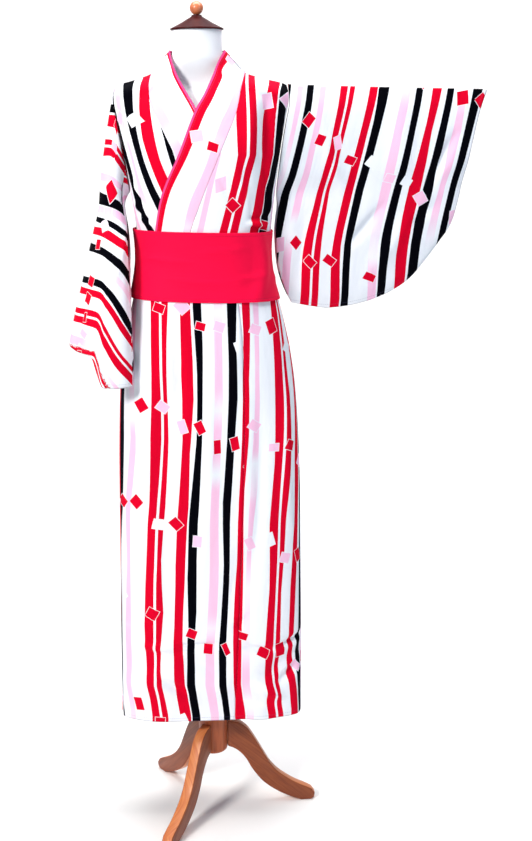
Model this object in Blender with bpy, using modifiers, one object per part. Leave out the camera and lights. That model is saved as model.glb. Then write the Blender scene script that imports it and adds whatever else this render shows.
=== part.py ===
"""Two-piece kimono, a short top, a wrap skirt and a wide sash, on a dress form with a three-legged stand.

Metres, +Z up. The garment's front faces -Y and +X is the viewer's right. The origin is on the floor, below the
middle of the whole object's box. Everything is worked out around the stand's post, which stands at POST_X, POST_Y.
Each piece that a maker cuts is an open surface with a thickness, parted from its neighbour by SEAM_GAP.
"""

import math

import bmesh
import bpy
import numpy as np

# Stand and form
POST_X = -0.1647
POST_Y = 0.0104
POST_RADIUS = 0.033
POST_BOTTOM_Z = 0.134
FORM_BASE_Z = 0.920
LEG_COUNT = 3
LEG_TURN = math.radians(5.5)
LEG_THICKNESS = 0.025
LEG_EDGE_ROUND = 0.003
CAP_RIM_Z = 1.7565
CAP_X = -0.007
BALL_RADIUS = 0.0142
BALL_SPIGOT_RADIUS = 0.006

# Cloth: thicknesses, gaps and lifts. A fade is where a lift starts and the way it takes to its full height, as
# shares of the half width to the viewer's right, or as heights
CLOTH = 0.0015
COLLAR_CLOTH = 0.0025
SASH_CLOTH = 0.0025
SEAM_GAP = 0.0004
ROOT_GAP = 0.0024
FOLDED_SEAM_GAP = 0.0020
COLLAR_STAND = 0.0014
WRAP_LIFT = 0.0040
WRAP_FADE = (0.80, 0.35)
WRAP_FADE_Z = (1.665, 0.060)
SASH_SNUG = 0.0034
SASH_OVER_WRAP = 0.0037
SASH_FADE = (0.90, 0.40)

# Heights
HEM_Z = 0.241
SKIRT_TOP_Z = 1.285
TOP_END_Z = 1.300
SASH_BOTTOM_Z = 1.1945
SASH_TOP_Z = 1.343
SASH_FALL = 0.004
ARMHOLE_END_Z = 1.420
SHOULDER_TIP_Z = 1.642
COLLAR_SEAM_Z = 1.668

# Sections of the garment on the form: half width, depth to the front and to the back, squareness, middle
BODY_COLUMNS = ("z", "half_width", "front", "back", "square", "middle")
BODY = (
    (0.235, 0.2060, 0.084, 0.097, 3.0, -0.002),
    (0.400, 0.2052, 0.086, 0.101, 3.0, 0.000),
    (0.600, 0.2030, 0.090, 0.106, 2.9, 0.002),
    (0.800, 0.2000, 0.094, 0.112, 2.8, 0.003),
    (0.960, 0.1940, 0.100, 0.118, 2.7, 0.003),
    (1.050, 0.1860, 0.103, 0.118, 2.6, 0.002),
    (1.116, 0.1740, 0.103, 0.112, 2.5, 0.002),
    (1.180, 0.1600, 0.102, 0.106, 2.4, 0.001),
    (1.235, 0.1470, 0.099, 0.099, 2.35, 0.000),
    (1.290, 0.1405, 0.099, 0.097, 2.3, 0.000),
    (1.340, 0.1435, 0.103, 0.098, 2.3, 0.000),
    (1.420, 0.1530, 0.110, 0.101, 2.3, 0.000),
    (1.500, 0.1670, 0.112, 0.105, 2.2, 0.000),
    (1.580, 0.1810, 0.098, 0.104, 2.1, 0.000),
    (1.615, 0.1855, 0.085, 0.098, 2.0, 0.000),
    (1.642, 0.1800, 0.071, 0.090, 2.0, 0.000),
    (1.655, 0.1370, 0.065, 0.085, 2.0, -0.003),
    (1.668, 0.0980, 0.060, 0.080, 2.0, -0.006),
    (1.690, 0.0760, 0.056, 0.074, 2.0, -0.007),
    (1.714, 0.0570, 0.053, 0.068, 2.0, -0.007),
)

# Sections of the bare form, which has a flat base and ends in a neck
FORM_COLUMNS = ("z", "half_width", "front", "back", "square", "middle")
FORM = (
    (0.920, 0.1480, 0.072, 0.082, 2.3, 0.000),
    (0.932, 0.1640, 0.084, 0.096, 2.3, 0.000),
    (0.960, 0.1720, 0.090, 0.103, 2.3, 0.000),
    (1.040, 0.1700, 0.091, 0.104, 2.3, 0.000),
    (1.116, 0.1580, 0.091, 0.099, 2.3, 0.000),
    (1.180, 0.1440, 0.089, 0.092, 2.2, 0.000),
    (1.240, 0.1310, 0.086, 0.085, 2.2, 0.000),
    (1.300, 0.1270, 0.086, 0.083, 2.2, 0.000),
    (1.360, 0.1330, 0.090, 0.086, 2.2, 0.000),
    (1.430, 0.1430, 0.096, 0.089, 2.2, 0.000),
    (1.500, 0.1540, 0.094, 0.091, 2.1, 0.000),
    (1.560, 0.1660, 0.080, 0.089, 2.0, 0.000),
    (1.600, 0.1730, 0.062, 0.080, 2.0, 0.000),
    (1.625, 0.1750, 0.044, 0.066, 2.0, 0.000),
    (1.6405, 0.1720, 0.030, 0.052, 2.0, 0.000),
    (1.6530, 0.1310, 0.026, 0.048, 2.0, -0.003),
    (1.6655, 0.0925, 0.030, 0.048, 2.0, -0.006),
    (1.682, 0.0670, 0.039, 0.050, 2.0, -0.007),
    (1.700, 0.0560, 0.047, 0.052, 2.0, -0.007),
    (1.720, 0.0520, 0.048, 0.052, 2.0, -0.007),
    (1.7560, 0.0520, 0.048, 0.052, 2.0, -0.007),
)

# Soft upright folds of the skirt and of the top: side angle, spread and height of the crest, and its two ends
FOLD_COLUMNS = ("angle", "spread", "crest", "top", "bottom")
FOLDS = (
    (62.0, 9.0, 0.0050, 0.98, 0.10),
    (77.0, 6.0, -0.0040, 0.98, 0.10),
    (112.0, 10.0, 0.0025, 0.90, 0.10),
    (140.0, 8.0, -0.0025, 0.95, 0.10),
    (20.0, 8.0, 0.0030, 0.85, 0.10),
    (-38.0, 9.0, 0.0060, 1.05, 0.10),
    (-62.0, 8.0, -0.0050, 1.05, 0.10),
    (-95.0, 10.0, 0.0060, 1.05, 0.10),
    (-128.0, 8.0, -0.0045, 1.05, 0.10),
    (-150.0, 8.0, 0.0050, 1.00, 0.10),
    (38.0, 8.0, -0.0030, 1.36, 1.56),
    (-40.0, 8.0, 0.0040, 1.36, 1.56),
    (-140.0, 8.0, 0.0040, 1.36, 1.56),
)

# Collar as the front view shows it, from the shoulder down: x and z of the seam and of the free edge
COLLAR_COLUMNS = ("seam_x", "seam_z", "edge_x", "edge_z")
OVER_COLLAR = (
    (0.0920, 1.668, 0.0490, 1.714),
    (0.0840, 1.630, 0.0370, 1.690),
    (0.0740, 1.585, 0.0240, 1.656),
    (0.0540, 1.536, 0.0080, 1.620),
    (0.0260, 1.470, -0.0090, 1.590),
    (-0.0010, 1.404, -0.0390, 1.515),
    (-0.0230, 1.345, -0.0850, 1.405),
    (-0.0330, 1.300, -0.1030, 1.300),
)
UNDER_COLLAR = (
    (-0.1040, 1.668, -0.0630, 1.714),
    (-0.1060, 1.635, -0.0560, 1.688),
    (-0.1000, 1.600, -0.0450, 1.660),
    (-0.0830, 1.564, -0.0270, 1.628),
    (-0.0540, 1.505, -0.0060, 1.592),
    (-0.0170, 1.430, 0.0300, 1.512),
    (0.0160, 1.365, 0.0560, 1.420),
    (0.0450, 1.300, 0.0700, 1.320),
)

# Held-out sleeve, in its own upright plane: along it from the shoulder, and height
SLEEVE_TURN = math.radians(16.0)
SLEEVE_START = (0.188, 0.012)
SLEEVE_CUFF_OPEN_Z = 1.432
OUT_CUFF = ((0.318, 1.268), (0.345, 1.302), (0.374, 1.342), (0.389, 1.389), (0.403, 1.450), (0.420, 1.520),
            (0.438, 1.587), (0.456, 1.634))
OUT_BOTTOM = ((0.000, 1.180), (0.038, 1.172), (0.086, 1.165), (0.131, 1.168), (0.182, 1.178), (0.225, 1.193),
              (0.272, 1.220), (0.318, 1.268))
OUT_INNER = ((0.000, 1.180), (-0.021, 1.225), (-0.033, 1.275), (-0.036, 1.335), (-0.030, 1.390))

# Hanging sleeve: the sides and the front and back of its section at each height, and how far it is folded
HANG_COLUMNS = ("z", "inner", "outer", "front", "back", "folded")
HANG = (
    (1.385, -0.1650, -0.2270, -0.070, 0.075, 0.45),
    (1.325, -0.1560, -0.2420, -0.105, 0.088, 0.75),
    (1.229, -0.1530, -0.2660, -0.126, 0.095, 1.00),
    (1.154, -0.1520, -0.2860, -0.130, 0.098, 1.00),
    (1.080, -0.1520, -0.3010, -0.130, 0.098, 1.00),
    (0.990, -0.1530, -0.3130, -0.128, 0.096, 1.00),
)
LOOP_COLUMNS = ("across", "deep", "plain_across", "plain_deep", "end_z")
LOOP = (
    (0.000, 0.100, 0.050, 0.220, 1.018),
    (0.220, 0.000, 0.280, 0.030, 1.017),
    (0.410, 0.000, 0.520, 0.000, 1.021),
    (0.580, 0.035, 0.740, 0.060, 1.083),
    (0.850, 0.260, 0.930, 0.240, 1.091),
    (1.000, 0.500, 1.000, 0.500, 1.100),
    (0.930, 0.790, 0.940, 0.760, 1.104),
    (0.760, 1.000, 0.760, 0.940, 1.090),
    (0.600, 0.780, 0.600, 0.990, 1.060),
    (0.420, 0.980, 0.440, 1.000, 1.030),
    (0.250, 0.760, 0.300, 0.960, 1.016),
    (0.080, 0.700, 0.160, 0.800, 1.012),
    (0.040, 0.400, 0.050, 0.500, 1.012),
)
HANG_SPLIT = 6

# Leg's outline: distance from the post's middle and height, along the top from the post and back below it
LEG_TOP = ((0.0333, 0.209), (0.056, 0.204), (0.078, 0.189), (0.093, 0.167), (0.105, 0.146), (0.117, 0.124),
           (0.131, 0.099), (0.149, 0.077), (0.170, 0.060), (0.195, 0.044), (0.216, 0.034), (0.230, 0.026))
LEG_TIP = ((0.2375, 0.015), (0.2350, 0.005))
LEG_BELOW = ((0.2270, 0.000), (0.2050, 0.000), (0.173, 0.013), (0.149, 0.026), (0.119, 0.048), (0.101, 0.069),
             (0.087, 0.090), (0.077, 0.109), (0.066, 0.124), (0.050, 0.138), (0.0333, 0.146))

# Turned cap on the neck: radius and height, from the top down its outside
CAP_PROFILE = ((0.0, 0.0310), (0.0105, 0.0300), (0.0115, 0.0270), (0.0300, 0.0160), (0.0545, 0.0035),
               (0.0562, 0.0020), (0.0555, 0.0), (0.0, 0.0))

# Collar behind the neck: how far its seam drops, and the depth and drop of its free edge
BACK_NECK_DROP = 0.020
BACK_EDGE_DEPTH = 0.067
BACK_EDGE_DROP = 0.003

# Armholes: half the angle that they span round the body, and where they lie round the hanging sleeve's section
ARMHOLE_ANGLE = math.radians(13.0)
ARMHOLE_HIGH = 5.0 / 13.0
ARMHOLE_LOW = 11.5 / 13.0

# Skirt: lines down its front as shares of its half width, from the viewer's left at -1 to the right at 1
EDGE_PANEL_SHARE = (0.27, 0.485)
FREE_EDGE_SHARE = -0.955
UNDER_END_SHARE = 0.55
UNDER_HEM_RISE = 0.004

# Sash: where it starts behind, how far it winds, and how far its end stands off its start
SASH_START = math.radians(-112.0)
SASH_TURN = math.radians(398.0)
SASH_LAP_LIFT = 0.0040
SASH_RISE_START = math.radians(-423.0)
SASH_RISE_TURN = math.radians(69.0)

# Hollow of the held-out sleeve at its middle, at its cuff and along its free inner edge, each way from its plane
OUT_HOLLOW = 0.013
OUT_MOUTH = 0.009
OUT_FREE_EDGE = 0.006
HANG_SHOULDER_BULGE = 0.004
BESIDE_ROOM = 0.0140

# Hollow of the held-out sleeve: how fast it fills from its edges and fades from its free edge and root
OUT_MOUTH_START = 0.05
OUT_FILL = 0.5
OUT_FREE_FADE = 3
OUT_ROOT_FADE = 4

# Part of the outward direction that points up, for cloth that lies level on the shoulders
SLIGHTLY_UP = 0.1

# Fineness of each piece
ROUND_STEPS = 32
FORM_SIDES = 36
COLLAR_ACROSS = 5
NECK_STATIONS = 8
TOP_ROWS = 18
TOP_COLUMNS = 10
BACK_COLUMNS = 11
UNDER_COLUMNS = 16
OVER_COLUMNS = 10
EDGE_COLUMNS = 13
SKIRT_ROWS = 14
SKIRT_CROWDING = 1.4
SASH_STATIONS = 60
SASH_ROWS = 5
OUT_ROWS = 16
OUT_COLUMNS = 14
HANG_FRONT_COLUMNS = 13
HANG_BACK_COLUMNS = 23
HANG_NECK_ROWS = 5
HANG_ROWS = 9


def column(rows, names, name):
    """One named column of a table."""
    return np.array([row[names.index(name)] for row in rows])


def smooth(knots, values, at):
    """Cubic curve through the values at rising knots, read at each place in at. It never overshoots a step."""
    knots = np.asarray(knots, float)
    values = np.asarray(values, float)
    step = np.diff(knots)
    slope = np.diff(values) / step
    tangent = np.empty(len(knots))
    tangent[0], tangent[-1] = slope[0], slope[-1]
    for i in range(1, len(knots) - 1):
        before, after = slope[i - 1], slope[i]
        tangent[i] = 0.0 if before * after <= 0 else 2 * before * after / (before + after)
    at = np.clip(np.asarray(at, float), knots[0], knots[-1])
    low = np.clip(np.searchsorted(knots, at, side="right") - 1, 0, len(step) - 1)
    h = step[low]
    t = (at - knots[low]) / h
    return (
        (1 + 2 * t) * (1 - t) ** 2 * values[low]
        + t * (1 - t) ** 2 * h * tangent[low]
        + t * t * (3 - 2 * t) * values[low + 1]
        + t * t * (t - 1) * h * tangent[low + 1]
    )


def ease(value):
    """Soft step from 0 at 0 to 1 at 1."""
    value = np.clip(value, 0.0, 1.0)
    return value * value * (3 - 2 * value)


def lengths(points):
    """Distance along a row of points."""
    return np.concatenate([[0.0], np.cumsum(np.linalg.norm(np.diff(points, axis=0), axis=1))])


def spaced(points, count):
    """Evenly spaced points along a fine row of points."""
    along = lengths(points)
    at = np.linspace(0.0, along[-1], count)
    return np.stack([np.interp(at, along, points[:, k]) for k in range(points.shape[1])], axis=1)


def through(points, count):
    """Evenly spaced points on a smooth curve through a few."""
    points = np.asarray(points, float)
    along = lengths(points)
    fine = np.linspace(0.0, along[-1], 20 * len(points))
    return spaced(np.stack([smooth(along, points[:, k], fine) for k in range(points.shape[1])], axis=1), count)


def signed_power(value, power):
    """Power that keeps the sign."""
    return np.sign(value) * np.abs(value) ** power


def section(rows, names, angle, z):
    """Point of a table's section. The angle is 0 at the viewer's right, 90 degrees in front and -90 behind."""
    z = np.asarray(z, float)
    knots = column(rows, names, "z")
    wide, front, back, square, middle = (
        smooth(knots, column(rows, names, name), z) for name in names[1:]
    )
    cos, sin = np.cos(angle), np.sin(angle)
    deep = np.where(sin > 0, front, back)
    x = middle + wide * signed_power(cos, 2 / square)
    y = -deep * signed_power(sin, 2 / square)
    return np.stack([x, y, z + 0 * x], axis=-1)


def fold_height(angle, z):
    """How far the soft folds push the cloth out, at an angle and a height."""
    total = 0 * (angle + z)
    for at, spread, crest, top, bottom in FOLDS:
        turn = (np.degrees(angle) - at + 180.0) % 360.0 - 180.0
        total = total + crest * np.exp(-((turn / spread) ** 2)) * ease((z - top) / (bottom - top))
    return total


def body(angle, z, lift=0.0):
    """Point of the garment's inner face on the form, or lift outside it."""
    angle, z = np.broadcast_arrays(np.asarray(angle, float), np.asarray(z, float))
    nudge = 1e-3
    around = section(BODY, BODY_COLUMNS, angle + nudge, z) - section(BODY, BODY_COLUMNS, angle - nudge, z)
    upward = section(BODY, BODY_COLUMNS, angle, z + nudge) - section(BODY, BODY_COLUMNS, angle, z - nudge)
    normal = np.cross(upward, around)
    normal /= np.linalg.norm(normal, axis=-1, keepdims=True)
    out = np.asarray(lift, float) + fold_height(angle, z)
    return section(BODY, BODY_COLUMNS, angle, z) + normal * out[..., None]


def angle_at(x, z):
    """Angle at which the front of the body's section has this x."""
    knots = column(BODY, BODY_COLUMNS, "z")
    wide, square, middle = (
        smooth(knots, column(BODY, BODY_COLUMNS, name), z) for name in ("half_width", "square", "middle")
    )
    share = np.clip((x - middle) / wide, -1.0, 1.0)
    return np.arccos(signed_power(share, square / 2))


def share_right(angle, z):
    """How far to the viewer's right a point lies, as a share of the half width there."""
    square = smooth(column(BODY, BODY_COLUMNS, "z"), column(BODY, BODY_COLUMNS, "square"), z)
    return signed_power(np.cos(angle), 2 / square)


def wrap_lift(angle, z):
    """Lift of the pieces that wrap over the others in front. It fades towards the viewer's right and the neck."""
    sideways = ease((WRAP_FADE[0] - share_right(angle, z)) / WRAP_FADE[1])
    return WRAP_LIFT * sideways * ease((WRAP_FADE_Z[0] - z) / WRAP_FADE_Z[1])


def sash_lift(angle, z):
    """Lift of the sash, which is snug at the viewer's right and passes over the wrapped fronts."""
    return SASH_SNUG + SASH_OVER_WRAP * ease((SASH_FADE[0] - share_right(angle, z)) / SASH_FADE[1])


def run(start, end, count, lift):
    """Evenly spaced points on the body between two (angle, z) places, with their lift."""
    share = np.linspace(0.0, 1.0, 160)
    angle = start[0] + (end[0] - start[0]) * share
    z = start[1] + (end[1] - start[1]) * share
    return spaced(body(angle, z, lift(angle, z)), count)


def flat_lift(angle, z):
    return 0 * angle


def patch(left, right, bottom, top):
    """Surface between four edges. left and right run up, bottom and top run from left to right."""
    across = np.linspace(0.0, 1.0, len(bottom))[None, :, None]
    upward = np.linspace(0.0, 1.0, len(left))[:, None, None]
    sides = (1 - across) * left[:, None] + across * right[:, None]
    ends = (1 - upward) * bottom[None] + upward * top[None]
    corners = (1 - upward) * ((1 - across) * bottom[0] + across * bottom[-1])
    corners = corners + upward * ((1 - across) * top[0] + across * top[-1])
    return sides + ends - corners


def trimmed(points, edges, gap=SEAM_GAP):
    """The same grid with the named edges drawn in by half a gap."""
    points = points.copy()
    for edge in edges:
        row = {"first_row": (0, 1), "last_row": (-1, -2)}.get(edge)
        if row:
            step = points[row[1]] - points[row[0]]
            points[row[0]] += step / np.linalg.norm(step, axis=1, keepdims=True) * gap / 2
        else:
            here, near = {"first_column": (0, 1), "last_column": (-1, -2)}[edge]
            step = points[:, near] - points[:, here]
            points[:, here] += step / np.linalg.norm(step, axis=1, keepdims=True) * gap / 2
    return points


def finish_surface(name, colour, roughness, metallic=0.0):
    """Plain material of one sub-part."""
    material = bpy.data.materials.new(name)
    material.use_nodes = True
    shader = material.node_tree.nodes["Principled BSDF"]
    shader.inputs["Base Color"].default_value = (*colour, 1.0)
    shader.inputs["Roughness"].default_value = roughness
    shader.inputs["Metallic"].default_value = metallic
    return material


def place(name, data, material):
    """New object on the post's axis, in the object's collection."""
    made = bpy.data.objects.new(name, data)
    made.location = (POST_X, POST_Y, 0.0)
    data.materials.append(material)
    bpy.data.collections["kimono_on_dress_form"].objects.link(made)
    return made


def cloth(name, points, thickness, outward, material):
    """Wall of cloth whose inner face is a grid of points. outward gives a direction for each point."""
    rows, columns = points.shape[:2]
    mesh = bmesh.new()
    bmesh.ops.create_grid(mesh, x_segments=columns - 1, y_segments=rows - 1, size=1.0)
    mesh.verts.ensure_lookup_table()
    for vert, point in zip(mesh.verts, points.reshape(-1, 3)):
        vert.co = point
    mesh.normal_update()
    out = np.broadcast_to(outward, points.shape).reshape(-1, 3)
    facing = sum(vert.normal.dot(way) for vert, way in zip(mesh.verts, out.tolist()))
    if facing < 0:
        bmesh.ops.reverse_faces(mesh, faces=mesh.faces[:])
    data = bpy.data.meshes.new(name)
    mesh.to_mesh(data)
    mesh.free()
    data.shade_smooth()
    data.set_sharp_from_angle(angle=math.radians(50.0))
    made = place(name, data, material)
    wall = made.modifiers.new("cloth thickness", "SOLIDIFY")
    wall.thickness = thickness
    wall.offset = 1.0
    wall.use_even_offset = True
    wall.use_rim = True
    return made


def from_axis(points):
    """Direction away from the post and a little up for each point."""
    return points * np.array([1.0, 1.0, 0.0]) + np.array([0.0, 0.0, SLIGHTLY_UP])


def turned(name, profile, material, x=0.0, z=0.0):
    """Round piece from a profile that runs from its top down its outside."""
    data = bpy.data.meshes.new(name)
    mesh = bmesh.new()
    verts = [mesh.verts.new((radius, 0.0, height)) for radius, height in profile]
    for upper, lower in zip(verts, verts[1:]):
        mesh.edges.new((upper, lower))
    mesh.to_mesh(data)
    mesh.free()
    made = place(name, data, material)
    made.location.x += x
    made.location.z += z
    screw = made.modifiers.new("turned", "SCREW")
    screw.steps = ROUND_STEPS
    screw.render_steps = ROUND_STEPS
    screw.use_merge_vertices = True
    screw.merge_threshold = 1e-5
    screw.use_smooth_shade = True
    return made


def loft(name, rings, material):
    """Closed solid through rings of points that run the same way round, from the lowest to the highest."""
    mesh = bmesh.new()
    made = [[mesh.verts.new(point) for point in ring] for ring in rings]
    count = len(made[0])
    for lower, upper in zip(made, made[1:]):
        for i in range(count):
            j = (i + 1) % count
            mesh.faces.new((lower[i], lower[j], upper[j], upper[i]))
    mesh.faces.new(made[0])
    mesh.faces.new(made[-1])
    bmesh.ops.recalc_face_normals(mesh, faces=mesh.faces[:])
    data = bpy.data.meshes.new(name)
    mesh.to_mesh(data)
    mesh.free()
    data.shade_smooth()
    data.set_sharp_from_angle(angle=math.radians(50.0))
    return place(name, data, material)


def make_form(material):
    """Limbless torso with a neck, smooth and closed, a little inside the garment."""
    turns = np.linspace(0.0, 2 * math.pi, FORM_SIDES, endpoint=False)
    loft("form", [section(FORM, FORM_COLUMNS, turns, np.full(FORM_SIDES, row[0])) for row in FORM], material)


def make_cap(dark_wood, light_wood):
    """Turned wooden cap on the neck and the ball on it, whose spigot stands on the cap."""
    turned("neck_cap", CAP_PROFILE, dark_wood, CAP_X, CAP_RIM_Z)
    foot = -math.sqrt(BALL_RADIUS**2 - BALL_SPIGOT_RADIUS**2)
    tilt = math.atan2(foot, BALL_SPIGOT_RADIUS)
    arc = [
        (BALL_RADIUS * math.cos(a), BALL_RADIUS * math.sin(a)) for a in np.linspace(math.pi / 2, tilt, 12)
    ]
    arc[0] = (0.0, BALL_RADIUS)
    ball = arc + [(0.0, foot)]
    turned("cap_ball", ball, light_wood, CAP_X, CAP_RIM_Z + CAP_PROFILE[0][1] + SEAM_GAP - foot)


def make_post(material):
    """Round post from below the legs up to the form's base, with a rounded lower end."""
    top = FORM_BASE_Z - SEAM_GAP
    profile = [(0.0, top), (POST_RADIUS, top), (POST_RADIUS, POST_BOTTOM_Z + 0.010)]
    profile += [
        (POST_RADIUS - 0.004, POST_BOTTOM_Z + 0.003),
        (POST_RADIUS - 0.011, POST_BOTTOM_Z),
        (0.0, POST_BOTTOM_Z),
    ]
    turned("post", profile, material)


def make_legs(material):
    """Three legs, each cut from a board to an S curve, with a flat underside at the foot."""
    outline = list(map(tuple, through(LEG_TOP, 16))) + list(LEG_TIP) + list(LEG_BELOW[:2])
    outline += list(map(tuple, through(LEG_BELOW[1:], 13)))[1:]
    for index in range(LEG_COUNT):
        curve = bpy.data.curves.new(f"leg_{index + 1}", "CURVE")
        curve.dimensions = "2D"
        curve.fill_mode = "BOTH"
        curve.extrude = LEG_THICKNESS / 2 - LEG_EDGE_ROUND
        curve.bevel_depth = LEG_EDGE_ROUND
        curve.offset = -LEG_EDGE_ROUND
        curve.bevel_resolution = 1
        line = curve.splines.new("POLY")
        line.points.add(len(outline) - 1)
        for point, (out, height) in zip(line.points, outline):
            point.co = (out, height, 0.0, 1.0)
        line.use_cyclic_u = True
        leg = place(f"leg_{index + 1}", curve, material)
        leg.rotation_euler = (math.pi / 2, 0.0, LEG_TURN + 2 * math.pi * index / LEG_COUNT)


def collar_line(rows, x_name, z_name, count):
    """One long edge of a front collar as (angle, z) places from the shoulder down."""
    flat = np.stack([column(rows, COLLAR_COLUMNS, x_name), column(rows, COLLAR_COLUMNS, z_name)], axis=1)
    path = through(flat, count)
    return np.stack([angle_at(path[:, 0], path[:, 1]), path[:, 1]], axis=1)


def make_front_collar(name, rows, lift, material):
    """Stretch of the collar down one front, from the shoulder to below the sash's top."""
    seam = collar_line(rows, "seam_x", "seam_z", TOP_ROWS)
    edge = collar_line(rows, "edge_x", "edge_z", TOP_ROWS)
    grid = np.stack([run(a, b, COLLAR_ACROSS, lift) for a, b in zip(seam, edge)])
    grid = trimmed(grid, ("first_row", "first_column"))
    cloth(name, grid, COLLAR_CLOTH, from_axis(grid), material)


def back_neck_line(side):
    """Seam of the collar from the centre back to one shoulder, as (angle, z) places. side is 1 or -1."""
    rows = OVER_COLLAR if side > 0 else UNDER_COLLAR
    turn = np.linspace(0.0, math.pi / 2, NECK_STATIONS)
    x = rows[0][0] * np.sin(turn)
    z = COLLAR_SEAM_Z - BACK_NECK_DROP * np.cos(turn) ** 2
    return np.stack([-angle_at(x, z), z], axis=1)


def make_back_collar(material):
    """Stretch of the collar that stands round the back of the neck, from shoulder to shoulder."""
    right = back_neck_line(1)
    left = back_neck_line(-1)
    places = np.concatenate([left[::-1], right[1:]])
    seam = body(places[:, 0], places[:, 1]) + np.array([0.0, 0.0, COLLAR_STAND])
    turn = np.linspace(math.pi, 0.0, len(seam))
    ends = [body(angle_at(rows[0][2], rows[0][3]), rows[0][3]) for rows in (UNDER_COLLAR, OVER_COLLAR)]
    middle, reach = (ends[0] + ends[1]) / 2, (ends[1] - ends[0]) / 2
    edge = middle + np.cos(turn)[:, None] * reach
    edge = edge + np.stack([0 * turn, BACK_EDGE_DEPTH * np.sin(turn), -BACK_EDGE_DROP * np.sin(turn) ** 2], axis=1)
    level = np.linspace(0.0, 1.0, COLLAR_ACROSS)[:, None, None]
    grid = trimmed(seam * (1 - level) + edge * level, ("first_row", "first_column", "last_column"))
    cloth("collar_back", grid, COLLAR_CLOTH, from_axis(grid), material)


def arm_angle(z):
    """Half the angle that an armhole spans at a height, and 0 below it."""
    share = np.clip((z - ARMHOLE_END_Z) / (SHOULDER_TIP_Z - ARMHOLE_END_Z), 0.0, 1.0)
    return ARMHOLE_ANGLE * np.sqrt(np.sin(math.pi * share) + 0 * z)


def side_line(side, facing, count):
    """Side seam and armhole edge of one panel of the top, upwards. facing is 1 in front and -1 behind."""
    z = np.linspace(TOP_END_Z, SHOULDER_TIP_Z, count)
    angle = arm_angle(z)
    angle = angle if side > 0 else math.pi - angle
    return np.stack([facing * angle, z], axis=1)


def make_top_front(name, rows, side, lift, material):
    """Front of the top on one side, from the collar's seam to the side seam, armhole and shoulder line."""
    inner = collar_line(rows, "seam_x", "seam_z", TOP_ROWS)[::-1]
    outer = side_line(side, 1, TOP_ROWS)
    grid = np.stack([run(a, b, TOP_COLUMNS, lift) for a, b in zip(inner, outer)])
    grid = trimmed(grid, ("last_row", "first_column", "last_column"))
    cloth(name, grid, CLOTH, from_axis(grid), material)


def make_top_back(name, side, material):
    """Back of the top on one side, from the centre back seam and the collar to the side and shoulder line."""
    neck = back_neck_line(side)
    back_z = np.linspace(TOP_END_Z, neck[0][1], TOP_ROWS - NECK_STATIONS + 1)
    centre = np.stack([-angle_at(0 * back_z, back_z), back_z], axis=1)
    inner = np.concatenate([centre, neck[1:]])
    outer = side_line(side, -1, TOP_ROWS)
    grid = np.stack([run(a, b, TOP_COLUMNS, flat_lift) for a, b in zip(inner, outer)])
    grid = trimmed(grid, ("last_row", "first_column", "last_column"))
    cloth(name, grid, CLOTH, from_axis(grid), material)


def make_skirt_panel(name, angle_of, shares, columns, lift, material, edges, hem=HEM_Z):
    """Panel of the skirt between two upright lines, each at a share that angle_of turns into an angle."""
    grid = []
    for share in np.linspace(0.0, 1.0, SKIRT_ROWS):
        z = SKIRT_TOP_Z - (SKIRT_TOP_Z - hem) * (1 - share) ** SKIRT_CROWDING
        grid.append(run((angle_of(shares[0], z), z), (angle_of(shares[1], z), z), columns, lift))
    grid = trimmed(np.array(grid), edges)
    cloth(name, grid, CLOTH, from_axis(grid), material)


def share_angle(share, z):
    """Angle on the skirt's front at a share of its half width, -1 at the left to 1, or at two for hem and top."""
    share = np.interp(z, (HEM_Z, SKIRT_TOP_Z), np.broadcast_to(share, 2))
    square = smooth(column(BODY, BODY_COLUMNS, "z"), column(BODY, BODY_COLUMNS, "square"), z)
    return float(np.arccos(signed_power(share, square / 2)))


def back_angle(share, z):
    """Angle on the skirt's back at a share of the half circle, from -1 at the viewer's left to 1 at the right."""
    return (share - 1) * math.pi / 2 + 0 * z


def make_skirt(material):
    """Wrap skirt: two backs, the under front, and over it the over front with its edge panel."""
    sewn = ("first_column", "last_column")
    make_skirt_panel("skirt_back_right", back_angle, (0.0, 1.0), BACK_COLUMNS, flat_lift, material, sewn)
    make_skirt_panel("skirt_back_left", back_angle, (-1.0, 0.0), BACK_COLUMNS, flat_lift, material, sewn)
    make_skirt_panel(
        "skirt_front_under", share_angle, (UNDER_END_SHARE, -1.0), UNDER_COLUMNS, flat_lift, material,
        ("last_column",), HEM_Z + UNDER_HEM_RISE,
    )
    make_skirt_panel(
        "skirt_front_over", share_angle, (1.0, EDGE_PANEL_SHARE), OVER_COLUMNS, wrap_lift, material, sewn
    )
    make_skirt_panel(
        "skirt_edge_panel", share_angle, (EDGE_PANEL_SHARE, FREE_EDGE_SHARE), EDGE_COLUMNS, wrap_lift, material,
        ("first_column",),
    )


def make_sash(material):
    """Wide sash, wound once round from behind and lapped over its own start at the back."""
    stations = np.linspace(0.0, 1.0, SASH_STATIONS)
    angle = SASH_START - stations * SASH_TURN
    rise = SASH_LAP_LIFT * ease((SASH_RISE_START - angle) / SASH_RISE_TURN)
    grid = []
    for level in np.linspace(0.0, 1.0, SASH_ROWS):
        z = SASH_BOTTOM_Z + (SASH_TOP_Z - SASH_BOTTOM_Z) * level
        z = z - SASH_FALL * share_right(angle, z + 0 * angle)
        grid.append(body(angle, z, sash_lift(angle, z) + rise))
    grid = np.array(grid)
    cloth("sash", grid, SASH_CLOTH, from_axis(grid), material)


def sleeve_place(s, z):
    """Point of the held-out sleeve's own plane."""
    s = np.asarray(s, float)
    return np.stack(
        [SLEEVE_START[0] + s * math.cos(SLEEVE_TURN), SLEEVE_START[1] + s * math.sin(SLEEVE_TURN), z + 0 * s], axis=-1
    )


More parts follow.
